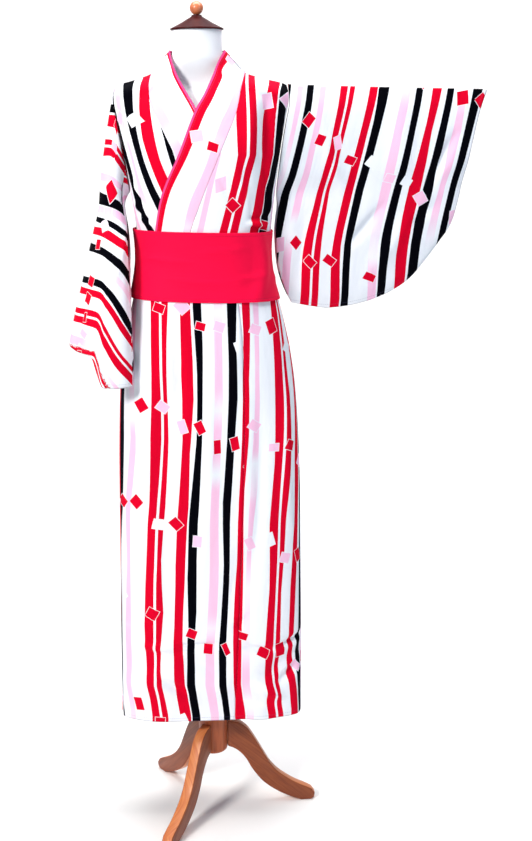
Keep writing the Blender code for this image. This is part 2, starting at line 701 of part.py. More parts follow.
def out_sleeve_grid(facing):
    """Wall of the held-out sleeve. facing is 1 in front and -1 behind."""
    inner_low = through(OUT_INNER, OUT_ROWS // 2 + 1)
    root_z = np.linspace(ARMHOLE_END_Z, SHOULDER_TIP_Z, OUT_ROWS - len(inner_low))
    root = body(facing * arm_angle(root_z), root_z, CLOTH + ROOT_GAP)
    root_s = (root[:, 0] - SLEEVE_START[0]) / math.cos(SLEEVE_TURN)
    inner = np.concatenate([inner_low, np.stack([root_s, root_z], axis=1)])
    cuff = through(OUT_CUFF, OUT_ROWS)
    bottom = through(OUT_BOTTOM, OUT_COLUMNS)
    top = np.linspace(inner[-1], cuff[-1], OUT_COLUMNS)
    flat = patch(inner, cuff, bottom, top)
    u = np.linspace(0.0, 1.0, OUT_COLUMNS)[None, :]
    v = np.linspace(0.0, 1.0, OUT_ROWS)[:, None]
    mouth = OUT_MOUTH * ease((flat[..., 1] - SLEEVE_CUFF_OPEN_Z) / OUT_MOUTH_START) * np.sin(math.pi * v)
    upright = np.sin(math.pi * v) ** OUT_FILL
    hollow = OUT_HOLLOW * np.sin(math.pi * u) ** OUT_FILL * upright
    free = OUT_FREE_EDGE * upright * (1 - u) ** OUT_FREE_FADE
    half = SEAM_GAP / 2 + hollow + mouth * u**OUT_FREE_FADE + free
    grid = sleeve_place(flat[..., 0], flat[..., 1])
    normal = np.array([math.sin(SLEEVE_TURN), -math.cos(SLEEVE_TURN), 0.0])
    grid = grid + facing * half[..., None] * normal
    pull = root + facing * normal * SEAM_GAP / 2 - grid[len(inner_low):, 0]
    grid[len(inner_low):] += pull[:, None] * ((1 - u) ** OUT_ROOT_FADE)[..., None]
    return grid, facing * normal


def make_out_sleeve(material):
    """Sleeve held out to the viewer's right: a front and a back wall that meet at the top and the lower seam."""
    for name, facing in (("sleeve_out_front", 1), ("sleeve_out_back", -1)):
        grid, outward = out_sleeve_grid(facing)
        cloth(name, grid, CLOTH, outward, material)


def hanging_section(at, z):
    """Point of the hanging sleeve's closed section, at a place from 0 to 1 round it and a height."""
    folded = smooth(-column(HANG, HANG_COLUMNS, "z"), column(HANG, HANG_COLUMNS, "folded"), -z)
    count = len(LOOP)
    knots = np.arange(-3, count + 4)
    turn = np.asarray(at) * count

    def round_loop(name):
        values = column(LOOP, LOOP_COLUMNS, name)
        return smooth(knots, values[knots % count], turn)

    across = round_loop("plain_across") * (1 - folded) + round_loop("across") * folded
    deep = round_loop("plain_deep") * (1 - folded) + round_loop("deep") * folded
    sides = [smooth(-column(HANG, HANG_COLUMNS, "z"), column(HANG, HANG_COLUMNS, n), -z) for n in HANG_COLUMNS[1:5]]
    inner, outer, front, back = sides
    y = front + (back - front) * deep
    inner = np.minimum(inner, beside_body(y, z))
    return np.stack([inner + (outer - inner) * across, y, z + 0 * y], axis=-1)


def beside_body(y, z):
    """How far to the viewer's left the sash and the wrapped skirt reach at a depth, with room to spare."""
    knots = column(BODY, BODY_COLUMNS, "z")
    wide, front, back, square = (
        smooth(knots, column(BODY, BODY_COLUMNS, name), z) + room
        for name, room in (("half_width", BESIDE_ROOM), ("front", BESIDE_ROOM), ("back", BESIDE_ROOM), ("square", 0))
    )
    share = np.clip(np.abs(y) / np.where(y < 0, front, back), 0.0, 1.0)
    return -wide * (1 - share**square) ** (1 / square)


def hang_end(at):
    """Height of the hanging sleeve's cuff round its section."""
    count = len(LOOP)
    knots = np.arange(-3, count + 4)
    return smooth(knots, column(LOOP, LOOP_COLUMNS, "end_z")[knots % count], np.asarray(at) * count)


def armhole_place(at):
    """Point of the left armhole's edge that a place round the hanging sleeve's section is sewn to."""
    if at <= ARMHOLE_HIGH or at > ARMHOLE_LOW:
        start = at - 1 if at > ARMHOLE_LOW else at
        share = (start - (ARMHOLE_LOW - 1)) / (ARMHOLE_HIGH - (ARMHOLE_LOW - 1))
        facing = 1
    else:
        share = 1 - (at - ARMHOLE_HIGH) / (ARMHOLE_LOW - ARMHOLE_HIGH)
        facing = -1
    z = ARMHOLE_END_Z + (SHOULDER_TIP_Z - ARMHOLE_END_Z) * share
    return body(facing * (math.pi - arm_angle(z)), z, CLOTH + ROOT_GAP)


def make_hanging_sleeve(material):
    """Sleeve that hangs at the viewer's left: a folded tube, parted up its outer side and its inner fold."""
    split = HANG_SPLIT / len(LOOP)
    for name, start, end, columns in (
        ("sleeve_hanging_front", 0.0, split, HANG_FRONT_COLUMNS),
        ("sleeve_hanging_back", split, 1.0, HANG_BACK_COLUMNS),
    ):
        places = np.linspace(start, end, columns)
        root = np.array([armhole_place(at) for at in places])
        neck_z = HANG[0][0]
        first = hanging_section(places, np.full(columns, neck_z))
        grid = []
        for step in np.linspace(0.0, 1.0, HANG_NECK_ROWS + 1)[:-1]:
            row = root * (1 - step) + first * step
            row[:, 0] -= HANG_SHOULDER_BULGE * 4 * step * (1 - step)
            grid.append(row)
        for step in np.linspace(0.0, 1.0, HANG_ROWS):
            z = neck_z + (hang_end(places) - neck_z) * step
            grid.append(hanging_section(places, z))
        grid = trimmed(np.array(grid), ("first_column", "last_column"), FOLDED_SEAM_GAP)
        cloth(name, grid, CLOTH, loop_outward(grid), material)


def loop_outward(grid):
    """Outward direction on a wall whose columns run round a hollow clockwise, seen from above."""
    across = np.gradient(grid, axis=1)
    downward = np.gradient(grid, axis=0)
    return np.cross(downward, across)


def main():
    """Build the form, its stand and the garment."""
    for old in list(bpy.data.objects):
        bpy.data.objects.remove(old, do_unlink=True)
    bpy.context.scene.collection.children.link(bpy.data.collections.new("kimono_on_dress_form"))
    form_cloth = finish_surface("white form cover", (0.86, 0.87, 0.89), 0.85)
    dark_wood = finish_surface("dark stained wood", (0.10, 0.015, 0.015), 0.35)
    ball_wood = finish_surface("orange varnished wood", (0.65, 0.20, 0.06), 0.30)
    leg_wood = finish_surface("reddish varnished wood", (0.42, 0.12, 0.05), 0.35)
    kimono_cloth = finish_surface("white printed cotton", (0.88, 0.88, 0.92), 0.60)
    sash_cloth = finish_surface("crimson sash cloth", (0.85, 0.01, 0.05), 0.70)
    make_form(form_cloth)
    make_cap(dark_wood, ball_wood)
    make_post(leg_wood)
    make_legs(leg_wood)
    make_top_front("top_front_over", OVER_COLLAR, 1, wrap_lift, kimono_cloth)
    make_top_front("top_front_under", UNDER_COLLAR, -1, flat_lift, kimono_cloth)
    make_top_back("top_back_right", 1, kimono_cloth)
    make_top_back("top_back_left", -1, kimono_cloth)
    make_front_collar("collar_over", OVER_COLLAR, wrap_lift, kimono_cloth)
    make_front_collar("collar_under", UNDER_COLLAR, flat_lift, kimono_cloth)
    make_back_collar(kimono_cloth)
    make_out_sleeve(kimono_cloth)
    make_hanging_sleeve(kimono_cloth)
    make_skirt(kimono_cloth)
    make_sash(sash_cloth)


main()
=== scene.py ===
import math

import bmesh
import bpy
import numpy as np
from bpy.props import FloatProperty, FloatVectorProperty, PointerProperty
from mathutils import Matrix, Vector


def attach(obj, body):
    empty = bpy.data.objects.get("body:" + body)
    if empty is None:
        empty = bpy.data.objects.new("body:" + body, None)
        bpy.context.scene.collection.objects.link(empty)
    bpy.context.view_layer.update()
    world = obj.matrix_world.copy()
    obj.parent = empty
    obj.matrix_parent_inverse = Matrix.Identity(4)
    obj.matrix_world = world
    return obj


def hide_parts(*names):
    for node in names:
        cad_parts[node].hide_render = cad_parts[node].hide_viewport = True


bl_info = {
    "name": "Kimono on a dress form",
    "version": (1, 0, 0),
    "blender": (4, 5, 0),
    "location": "3D View > Sidebar > Kimono",
    "description": "Draws a two-piece kimono on a dress form with a three-legged stand",
    "category": "Object",
}

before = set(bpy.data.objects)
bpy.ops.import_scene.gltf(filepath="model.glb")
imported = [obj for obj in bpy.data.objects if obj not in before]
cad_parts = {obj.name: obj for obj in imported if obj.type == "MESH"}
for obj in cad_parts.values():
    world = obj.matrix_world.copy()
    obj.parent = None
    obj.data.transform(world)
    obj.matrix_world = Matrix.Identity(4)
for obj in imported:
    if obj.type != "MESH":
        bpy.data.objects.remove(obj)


def table(names, *rows):
    """Columns of a table of numbers, by name."""
    return dict(zip(names.split(), np.array(rows).T))


# Stand and form
POST_X = -0.1647
POST_Y = 0.0104
POST_RADIUS = 0.033
POST_BOTTOM_Z = 0.134
FORM_BASE_Z = 0.92
LEG_COUNT = 3
LEG_TURN = math.radians(5.5)
LEG_THICKNESS = 0.025
LEG_EDGE_ROUND = 0.003
CAP_RIM_Z = 1.7565
CAP_X = -0.007
BALL_RADIUS = 0.0142
BALL_SPIGOT_RADIUS = 0.006

# Post: heights of two rings on it, and its rounded foot, how far in from its side and up from its bottom
POST_RINGS = (0.6, 0.3)
POST_FOOT = ((0.0, 0.01), (0.0012, 0.006), (0.004, 0.003), (0.0075, 0.001), (0.011, 0.0))

# Cloth of the solids, whose walls the drawn cloth stays in
CLOTH = 0.0015
SEAM_GAP = 0.0004
ROOT_GAP = 0.0024
FOLDED_SEAM_GAP = 0.002
COLLAR_STAND = 0.0014
WRAP_LIFT = 0.004
SASH_SNUG = 0.0034
SASH_OVER_WRAP = 0.0037

# Where the lift of the wrap and the sash ends, in shares of the half width and in height, and over how much
WRAP_END_SHARE = 0.8
WRAP_FADE_SHARE = 0.35
WRAP_END_Z = 1.665
WRAP_FADE_Z = 0.06
SASH_END_SHARE = 0.9
SASH_FADE_SHARE = 0.4

# Drawn cloth: how far inside its wall it starts, how thick it is, how far its edges are rounded
INSET = 0.0003
THIN = 0.0008
COLLAR_THICK = 0.0019
SASH_THICK = 0.0019
COLLAR_ROUND = 0.0007
SASH_ROUND = 0.0006

# Heights
HEM_Z = 0.241
SKIRT_TOP_Z = 1.285
TOP_END_Z = 1.3
SASH_BOTTOM_Z = 1.1945
SASH_TOP_Z = 1.343
SASH_FALL = 0.004
ARMHOLE_END_Z = 1.42
SHOULDER_TIP_Z = 1.642
COLLAR_SEAM_Z = 1.668

# Step over which a surface's slope is taken
NUDGE = 1e-3

# Sections of the garment on the form: half width, depth to the front and to the back, squareness, middle
BODY = table(
    "z half_width front back square middle",
    (0.235, 0.206, 0.084, 0.097, 3.0, -0.002),
    (0.4, 0.2052, 0.086, 0.101, 3.0, 0.0),
    (0.6, 0.203, 0.09, 0.106, 2.9, 0.002),
    (0.8, 0.2, 0.094, 0.112, 2.8, 0.003),
    (0.96, 0.194, 0.1, 0.118, 2.7, 0.003),
    (1.05, 0.186, 0.103, 0.118, 2.6, 0.002),
    (1.116, 0.174, 0.103, 0.112, 2.5, 0.002),
    (1.18, 0.16, 0.102, 0.106, 2.4, 0.001),
    (1.235, 0.147, 0.099, 0.099, 2.35, 0.0),
    (1.29, 0.1405, 0.099, 0.097, 2.3, 0.0),
    (1.34, 0.1435, 0.103, 0.098, 2.3, 0.0),
    (1.42, 0.153, 0.11, 0.101, 2.3, 0.0),
    (1.5, 0.167, 0.112, 0.105, 2.2, 0.0),
    (1.58, 0.181, 0.098, 0.104, 2.1, 0.0),
    (1.615, 0.1855, 0.085, 0.098, 2.0, 0.0),
    (1.642, 0.18, 0.071, 0.09, 2.0, 0.0),
    (1.655, 0.137, 0.065, 0.085, 2.0, -0.003),
    (1.668, 0.098, 0.06, 0.08, 2.0, -0.006),
    (1.69, 0.076, 0.056, 0.074, 2.0, -0.007),
    (1.714, 0.057, 0.053, 0.068, 2.0, -0.007),
)

# Sections of the bare form, which has a flat base and ends in a neck
FORM = table(
    "z half_width front back square middle",
    (0.92, 0.148, 0.072, 0.082, 2.3, 0.0),
    (0.932, 0.164, 0.084, 0.096, 2.3, 0.0),
    (0.96, 0.172, 0.09, 0.103, 2.3, 0.0),
    (1.04, 0.17, 0.091, 0.104, 2.3, 0.0),
    (1.116, 0.158, 0.091, 0.099, 2.3, 0.0),
    (1.18, 0.144, 0.089, 0.092, 2.2, 0.0),
    (1.24, 0.131, 0.086, 0.085, 2.2, 0.0),
    (1.3, 0.127, 0.086, 0.083, 2.2, 0.0),
    (1.36, 0.133, 0.09, 0.086, 2.2, 0.0),
    (1.43, 0.143, 0.096, 0.089, 2.2, 0.0),
    (1.5, 0.154, 0.094, 0.091, 2.1, 0.0),
    (1.56, 0.166, 0.08, 0.089, 2.0, 0.0),
    (1.6, 0.173, 0.062, 0.08, 2.0, 0.0),
    (1.625, 0.175, 0.044, 0.066, 2.0, 0.0),
    (1.6405, 0.172, 0.03, 0.052, 2.0, 0.0),
    (1.653, 0.131, 0.026, 0.048, 2.0, -0.003),
    (1.6655, 0.0925, 0.03, 0.048, 2.0, -0.006),
    (1.682, 0.067, 0.039, 0.05, 2.0, -0.007),
    (1.7, 0.056, 0.047, 0.052, 2.0, -0.007),
    (1.72, 0.052, 0.048, 0.052, 2.0, -0.007),
    (1.756, 0.052, 0.048, 0.052, 2.0, -0.007),
)

# Soft upright folds of the skirt and of the top: side angle, spread and height of the crest, and its two ends
FOLDS = (
    (62.0, 9.0, 0.005, 0.98, 0.1),
    (77.0, 6.0, -0.004, 0.98, 0.1),
    (112.0, 10.0, 0.0025, 0.9, 0.1),
    (140.0, 8.0, -0.0025, 0.95, 0.1),
    (20.0, 8.0, 0.003, 0.85, 0.1),
    (-38.0, 9.0, 0.006, 1.05, 0.1),
    (-62.0, 8.0, -0.005, 1.05, 0.1),
    (-95.0, 10.0, 0.006, 1.05, 0.1),
    (-128.0, 8.0, -0.0045, 1.05, 0.1),
    (-150.0, 8.0, 0.005, 1.0, 0.1),
    (38.0, 8.0, -0.003, 1.36, 1.56),
    (-40.0, 8.0, 0.004, 1.36, 1.56),
    (-140.0, 8.0, 0.004, 1.36, 1.56),
)

# Collar as the front view shows it, from the shoulder down: x and z of the seam and of the free edge
OVER_COLLAR = table(
    "seam_x seam_z edge_x edge_z",
    (0.092, 1.668, 0.049, 1.714),
    (0.084, 1.63, 0.037, 1.69),
    (0.074, 1.585, 0.024, 1.656),
    (0.054, 1.536, 0.008, 1.62),
    (0.026, 1.47, -0.009, 1.59),
    (-0.001, 1.404, -0.039, 1.515),
    (-0.023, 1.345, -0.085, 1.405),
    (-0.033, 1.3, -0.103, 1.3),
)
UNDER_COLLAR = table(
    "seam_x seam_z edge_x edge_z",
    (-0.104, 1.668, -0.063, 1.714),
    (-0.106, 1.635, -0.056, 1.688),
    (-0.1, 1.6, -0.045, 1.66),
    (-0.083, 1.564, -0.027, 1.628),
    (-0.054, 1.505, -0.006, 1.592),
    (-0.017, 1.43, 0.03, 1.512),
    (0.016, 1.365, 0.056, 1.42),
    (0.045, 1.3, 0.07, 1.32),
)
COLLAR_OF_SIDE = {1: OVER_COLLAR, -1: UNDER_COLLAR}

# Held-out sleeve, in its own upright plane: along it from the shoulder, and height
SLEEVE_WAY = (math.cos(math.radians(16.0)), math.sin(math.radians(16.0)))
SLEEVE_START = (0.188, 0.012)
SLEEVE_CUFF_OPEN_Z = 1.432
OUT_CUFF = ((0.318, 1.268), (0.345, 1.302), (0.374, 1.342), (0.389, 1.389), (0.403, 1.45), (0.42, 1.52),
            (0.438, 1.587), (0.456, 1.634))
OUT_BOTTOM = ((0.0, 1.18), (0.038, 1.172), (0.086, 1.165), (0.131, 1.168), (0.182, 1.178), (0.225, 1.193),
              (0.272, 1.22), (0.318, 1.268))
OUT_INNER = ((0.0, 1.18), (-0.021, 1.225), (-0.033, 1.275), (-0.036, 1.335), (-0.03, 1.39))

# Hanging sleeve: the sides and the front and back of its section at each height, and how far it is folded
HANG = table(
    "z inner outer front back folded",
    (1.385, -0.165, -0.227, -0.07, 0.075, 0.45),
    (1.325, -0.156, -0.242, -0.105, 0.088, 0.75),
    (1.229, -0.153, -0.266, -0.126, 0.095, 1.0),
    (1.154, -0.152, -0.286, -0.13, 0.098, 1.0),
    (1.08, -0.152, -0.301, -0.13, 0.098, 1.0),
    (0.99, -0.153, -0.313, -0.128, 0.096, 1.0),
)
LOOP = table(
    "across deep plain_across plain_deep end_z",
    (0.0, 0.1, 0.05, 0.22, 1.018),
    (0.22, 0.0, 0.28, 0.03, 1.017),
    (0.41, 0.0, 0.52, 0.0, 1.021),
    (0.58, 0.035, 0.74, 0.06, 1.083),
    (0.85, 0.26, 0.93, 0.24, 1.091),
    (1.0, 0.5, 1.0, 0.5, 1.1),
    (0.93, 0.79, 0.94, 0.76, 1.104),
    (0.76, 1.0, 0.76, 0.94, 1.09),
    (0.6, 0.78, 0.6, 0.99, 1.06),
    (0.42, 0.98, 0.44, 1.0, 1.03),
    (0.25, 0.76, 0.3, 0.96, 1.016),
    (0.08, 0.7, 0.16, 0.8, 1.012),
    (0.04, 0.4, 0.05, 0.5, 1.012),
)

# Places round that section, and the one at which its two walls part
LOOP_STATIONS = 13
HANG_SPLIT = 6

# Leg's outline: distance from the post's middle and height, along the top from the post and back below it
LEG_TOP = ((0.0333, 0.209), (0.056, 0.204), (0.078, 0.189), (0.093, 0.167), (0.105, 0.146), (0.117, 0.124),
           (0.131, 0.099), (0.149, 0.077), (0.17, 0.06), (0.195, 0.044), (0.216, 0.034), (0.23, 0.026))
LEG_TIP = ((0.2375, 0.015), (0.235, 0.005))
LEG_BELOW = ((0.227, 0.0), (0.205, 0.0), (0.173, 0.013), (0.149, 0.026), (0.119, 0.048), (0.101, 0.069),
             (0.087, 0.09), (0.077, 0.109), (0.066, 0.124), (0.05, 0.138), (0.0333, 0.146))

# Which way the grain runs on a leg, along x and down, and how it differs through the leg's thickness
GRAIN_WAY = (0.75, 0.66)
GRAIN_DEPTH = 0.5

# Turned cap on the neck, with a thin lip: radius and height, from the top down its outside
CAP_PROFILE = (
    (0.0, 0.031), (0.008, 0.0308), (0.0103, 0.03), (0.011, 0.0285), (0.012, 0.0268), (0.016, 0.0245),
    (0.023, 0.0204), (0.03, 0.016), (0.039, 0.0112), (0.047, 0.0072), (0.052, 0.0046), (0.0545, 0.0036),
    (0.0559, 0.0029), (0.0562, 0.0018), (0.056, 0.0008), (0.0555, 0.0), (0.0, 0.0),
)

# Collar behind the neck: how far its seam drops, and the depth and drop of its free edge
BACK_NECK_DROP = 0.02
BACK_EDGE_DEPTH = 0.067
BACK_EDGE_DROP = 0.003

# Armholes: half the angle they span round the body, and where they lie round the hanging sleeve's section
ARMHOLE_ANGLE = math.radians(13.0)
ARMHOLE_HIGH = 5.0 / LOOP_STATIONS
ARMHOLE_LOW = 11.5 / LOOP_STATIONS

# Skirt: lines down its front as shares of its half width, from the viewer's left at -1 to the right at 1
EDGE_PANEL_SHARE = (0.27, 0.485)
FREE_EDGE_SHARE = -0.955
UNDER_END_SHARE = 0.55
UNDER_HEM_RISE = 0.004

# Sash: where it starts behind, how far it winds, and how far its end stands off its start
SASH_START = math.radians(-112.0)
SASH_TURN = math.radians(398.0)
SASH_LAP_LIFT = 0.004
SASH_RISE_START = math.radians(-423.0)
SASH_RISE_TURN = math.radians(69.0)

# Hollow of the held-out sleeve at its middle, its cuff and its free inner edge, each way from its plane, and
# the height over which its cuff opens. Bulge of the hanging sleeve's shoulder, and its room beside the body
OUT_HOLLOW = 0.013
OUT_MOUTH = 0.009
OUT_FREE_EDGE = 0.006
OUT_OPENING = 0.05
HANG_SHOULDER_BULGE = 0.004
BESIDE_ROOM = 0.014

# Stations of each surface as the solids have them, from which the finer drawn surface is curved
COLLAR_ACROSS = 5
NECK_STATIONS = 8
TOP_ROWS = 18
TOP_COLUMNS = 10
BACK_COLUMNS = 11
UNDER_COLUMNS = 16
OVER_COLUMNS = 10
EDGE_COLUMNS = 13
SKIRT_ROWS = 14
SKIRT_CROWDING = 1.4
SASH_STATIONS = 60
SASH_ROWS = 5
OUT_ROWS = 16
OUT_COLUMNS = 14
HANG_FRONT_COLUMNS = 13
HANG_BACK_COLUMNS = 23
HANG_NECK_ROWS = 5
HANG_ROWS = 9

# Rows and columns of each surface as drawn, turns of each turned piece, and points of a leg's outline and of a
# line on the body
TOP_DRAWN = (120, 64)
FRONT_COLLAR_DRAWN = (90, 17)
BACK_COLLAR_DRAWN = (60, 13)
OUT_DRAWN = (130, 120)
HANG_FRONT_DRAWN = (100, 60)
HANG_BACK_DRAWN = (100, 100)
SKIRT_ROWS_DRAWN = 300
SASH_DRAWN = (36, 520)
FORM_RINGS = 130
FORM_TURNS = 73
CAP_TURNS = 96
BALL_TURNS = 48
POST_TURNS = 64
LEG_TOP_DRAWN = 44
LEG_BELOW_DRAWN = 36
RUN_DRAWN = 160

# Stripes of the printed cotton in one width of cloth, charted: middle, width, how it wavers, where a
# thin white slit parts it (NO_SLIT: nowhere), colour
REPEAT = 0.38
NO_SLIT = 0.3
STRIPES = (
    (0.008, 0.0185, 0.003, NO_SLIT, "black"),
    (0.043, 0.014, 0.006, NO_SLIT, "pink"),
    (0.1055, 0.0345, 0.003, 0.0035, "red"),
    (0.162, 0.0175, 0.004, NO_SLIT, "red"),
    (0.188, 0.017, 0.004, NO_SLIT, "black"),
    (0.236, 0.016, 0.006, NO_SLIT, "pink"),
    (0.266, 0.0175, 0.004, NO_SLIT, "black"),
    (0.306, 0.0185, 0.004, NO_SLIT, "red"),
    (0.332, 0.016, 0.004, NO_SLIT, "black"),
    (0.365, 0.014, 0.006, NO_SLIT, "pink"),
)

# Strip of the collar's own print, beside its free edge
COLLAR_STRIPES = (
    (0.0105, 0.0125, 0.001, NO_SLIT, "red"),
    (0.07, 0.018, 0.008, NO_SLIT, "pink"),
)

# The same of the under collar, whose red stripe is mostly turned in
UNDER_COLLAR_STRIPES = (
    (0.0065, 0.006, 0.001, NO_SLIT, "red"),
    (0.07, 0.018, 0.008, NO_SLIT, "pink"),
)

# Stripes of the skirt's panel at the viewer's right, from the skirt's middle on
SIDE_STRIPES = (
    (0.088, 0.014, 0.004, NO_SLIT, "red"),
    (0.112, 0.013, 0.006, NO_SLIT, "pink"),
    (0.1735, 0.034, 0.002, 0.0035, "red"),
    (0.22, 0.014, 0.005, NO_SLIT, "red"),
    (0.244, 0.014, 0.005, NO_SLIT, "black"),
    (0.27, 0.013, 0.006, NO_SLIT, "pink"),
    (0.33, 0.015, 0.006, NO_SLIT, "red"),
)

# Waver of the stripes: lengths from kink to kink of a stripe's middle and of its two edges, how far the edges
# wander out and in, half a slit's width, and how pink stripes fade
MIDDLE_KINKS = 0.165
EDGE_KINKS = (0.121, 0.143)
EDGE_OUT = 0.008
EDGE_IN = 0.003
HALF_SLIT = 0.0026
FADE_KINKS = 0.071
FADE_FROM = 0.05
FADE_TO = 0.55

# Scattered squares, in shares of their spacing: white rim, where they lie, half sizes and how these differ.
# Then how far they tilt, the share that is kept, and from which chance on they have each colour
SQUARE_RIM = 0.024
SQUARE_START = 0.24
SQUARE_ROAM = 0.38
SQUARE_HALVES = (0.25, 0.18)
SQUARE_UNLIKE = 0.11
SQUARE_TILT = 1.5
SQUARES_KEPT = 0.85
SQUARE_TINTS = ((0.0, "red"), (0.5, "pink"), (0.85, "ground"))

# Chains that the squares keep to, one in so many squares: across which way of the grid, and how many wide
CHAIN_PITCH = 11.0
SLANTED_CHAINS = ((1.0, 2.0, 0.0), 1.9)
LEVEL_CHAINS = ((0.0, 1.0, 0.0), 0.9)

# Sewn edges: width of the collar's piping and of the turned edge's shadow, and the lines of stitches
PIPING_WIDTH = 0.0048
EDGE_LINE = 0.0012
EDGE_SHADOW = (0.08, 0.07, 0.12, 1.0)
THREAD = (0.1, 0.09, 0.18, 1.0)
HEM_STITCHES = 0.008
SASH_STITCHES = 0.007
STITCH_PITCH = 0.0045
STITCH_SHARE = 0.66
STITCH_HALF_WIDTH = 0.0004

# Ribs of the sash, in radians a metre, and the refraction that every surface's shine goes by
RIBS = 2600.0
IOR = 1.5

# Flat cut of what shows of each piece: width and length of the oblong that holds it, its area, how it is held
CUTS = {
    "top_front_over": (0.23, 0.445, 0.065, "hung"),
    "top_front_under": (0.24, 0.45, 0.061, "hung"),
    "top_back_right": (0.25, 0.5, 0.077, "hung"),
    "top_back_left": (0.25, 0.51, 0.076, "hung"),
    "collar_over": (0.083, 0.48, 0.0345, "folded"),
    "collar_under": (0.083, 0.45, 0.03, "folded"),
    "collar_back": (0.07, 0.306, 0.017, "folded"),
    "sleeve_out_front": (0.465, 0.486, 0.188, "stretched"),
    "sleeve_out_back": (0.465, 0.487, 0.185, "stretched"),
    "sleeve_hanging_front": (0.33, 0.56, 0.103, "hung"),
    "sleeve_hanging_back": (0.41, 0.515, 0.135, "hung"),
    "skirt_back_right": (0.265, 1.05, 0.266, "hung"),
    "skirt_back_left": (0.265, 1.05, 0.266, "hung"),
    "skirt_front_under": (0.365, 1.045, 0.364, "hung"),
    "skirt_front_over": (0.2, 1.05, 0.181, "hung"),
    "skirt_edge_panel": (0.29, 1.05, 0.287, "hung"),
    "sash": (0.149, 0.975, 0.136, "draped"),
}

# How the stripes of the top lean: with the square of the drop below the shoulder, and steadily below a drop
TOP_LEAN = {
    "top_front_over": (0.0, 0.27, 0.142),
    "top_front_under": (-1.1, 0.0, 0.0),
    "top_back_right": (0.0, 0.0, 0.0),
    "top_back_left": (0.0, 0.0, 0.0),
}

# How the stripes of the held-out sleeve lean above a height
OUT_LEAN = 0.265
OUT_LEAN_Z = 1.3
OUT_LEAN_BEND = 0.05

# How the stripes of the skirt drift sideways on their way down: heights, and how far to the viewer's right
SKIRT_DRIFT = (
    (0.254, 0.33, 0.43, 0.525, 0.617, 0.71, 0.802, 0.894, 0.986, 1.072, 1.157),
    (-0.022, -0.031, -0.031, -0.026, -0.021, -0.017, -0.01, -0.004, 0.0, 0.001, 0.001),
)

# Hanging sleeve: where its outer fold lies round it, and how its stripes drop inward from there
HANG_FOLD = 5.0 / LOOP_STATIONS
HANG_FOLD_REST = 0.03
HANG_STEEP_WIDTH = 0.065
HANG_BENDS = (0.016, 0.03)
HANG_SLANT = table(
    "z start steep",
    (1.1, 0.145, 1.4),
    (1.16, 0.142, 1.35),
    (1.22, 0.133, 1.15),
    (1.26, 0.12, 0.9),
    (1.3, 0.11, 0.75),
    (1.36, 0.09, 0.6),
    (1.4, 0.072, 0.5),
)

# Where the chart's stripes lie on each piece: distances across it, and places in the chart
HANG_PRINT = (
    (1.089, 1.1, 1.101, 1.112, 1.162, 1.218, 1.241, 1.307, 1.368, 1.404, 1.441),
    (0.112, 0.126, 0.03, 0.043, 0.104, 0.162, 0.188, 0.266, 0.332, 0.388, 0.41),
)
PRINT_AT = {
    "top_front_over": (
        (0.035, 0.086, 0.105, 0.147, 0.169, 0.1735, 0.198, 0.22),
        (0.043, 0.098, 0.1165, 0.154, 0.17, 0.18, 0.196, 0.236),
    ),
    "top_front_under": (
        (-0.21, -0.185, -0.156, -0.115, -0.083, -0.055),
        (0.388, 0.365, 0.332, 0.306, 0.266, 0.236),
    ),
    "top_back_right": ((0.0, 0.38), (0.05, 0.43)),
    "top_back_left": ((-0.38, 0.0), (-0.33, 0.05)),
    "sleeve_out_front": (
        (-0.047, 0.029, 0.047, 0.095, 0.121, 0.182, 0.207, 0.246, 0.278, 0.315, 0.343),
        (0.008, 0.098, 0.1165, 0.162, 0.188, 0.236, 0.266, 0.306, 0.332, 0.365, 0.388),
    ),
    "sleeve_out_back": ((0.0, 0.38), (0.03, 0.41)),
    "sleeve_hanging_front": HANG_PRINT,
    "sleeve_hanging_back": HANG_PRINT,
    "skirt_back_right": ((0.0, 0.38), (0.1, 0.48)),
    "skirt_back_left": ((-0.38, 0.0), (-0.28, 0.1)),
    "skirt_front_under": ((-0.21, 0.17), (0.306, 0.686)),
    "skirt_edge_panel": (
        (-0.161, -0.104, -0.085, -0.037, -0.011, 0.03, 0.06, 0.09),
        (0.043, 0.098, 0.1165, 0.162, 0.188, 0.236, 0.266, 0.306),
    ),
    "skirt_front_over": ((0.0, 0.38), (0.0, 0.38)),
}

# How far each piece's print is slipped along its stripes, so that they don't waver alike. On the hanging
# sleeve it brings a chain of squares near the outer fold
SLIP = {node: 1.37 * number for number, node in enumerate(CUTS)}
SLIP.update({"sleeve_hanging_front": 12.238, "sleeve_hanging_back": 13.657})

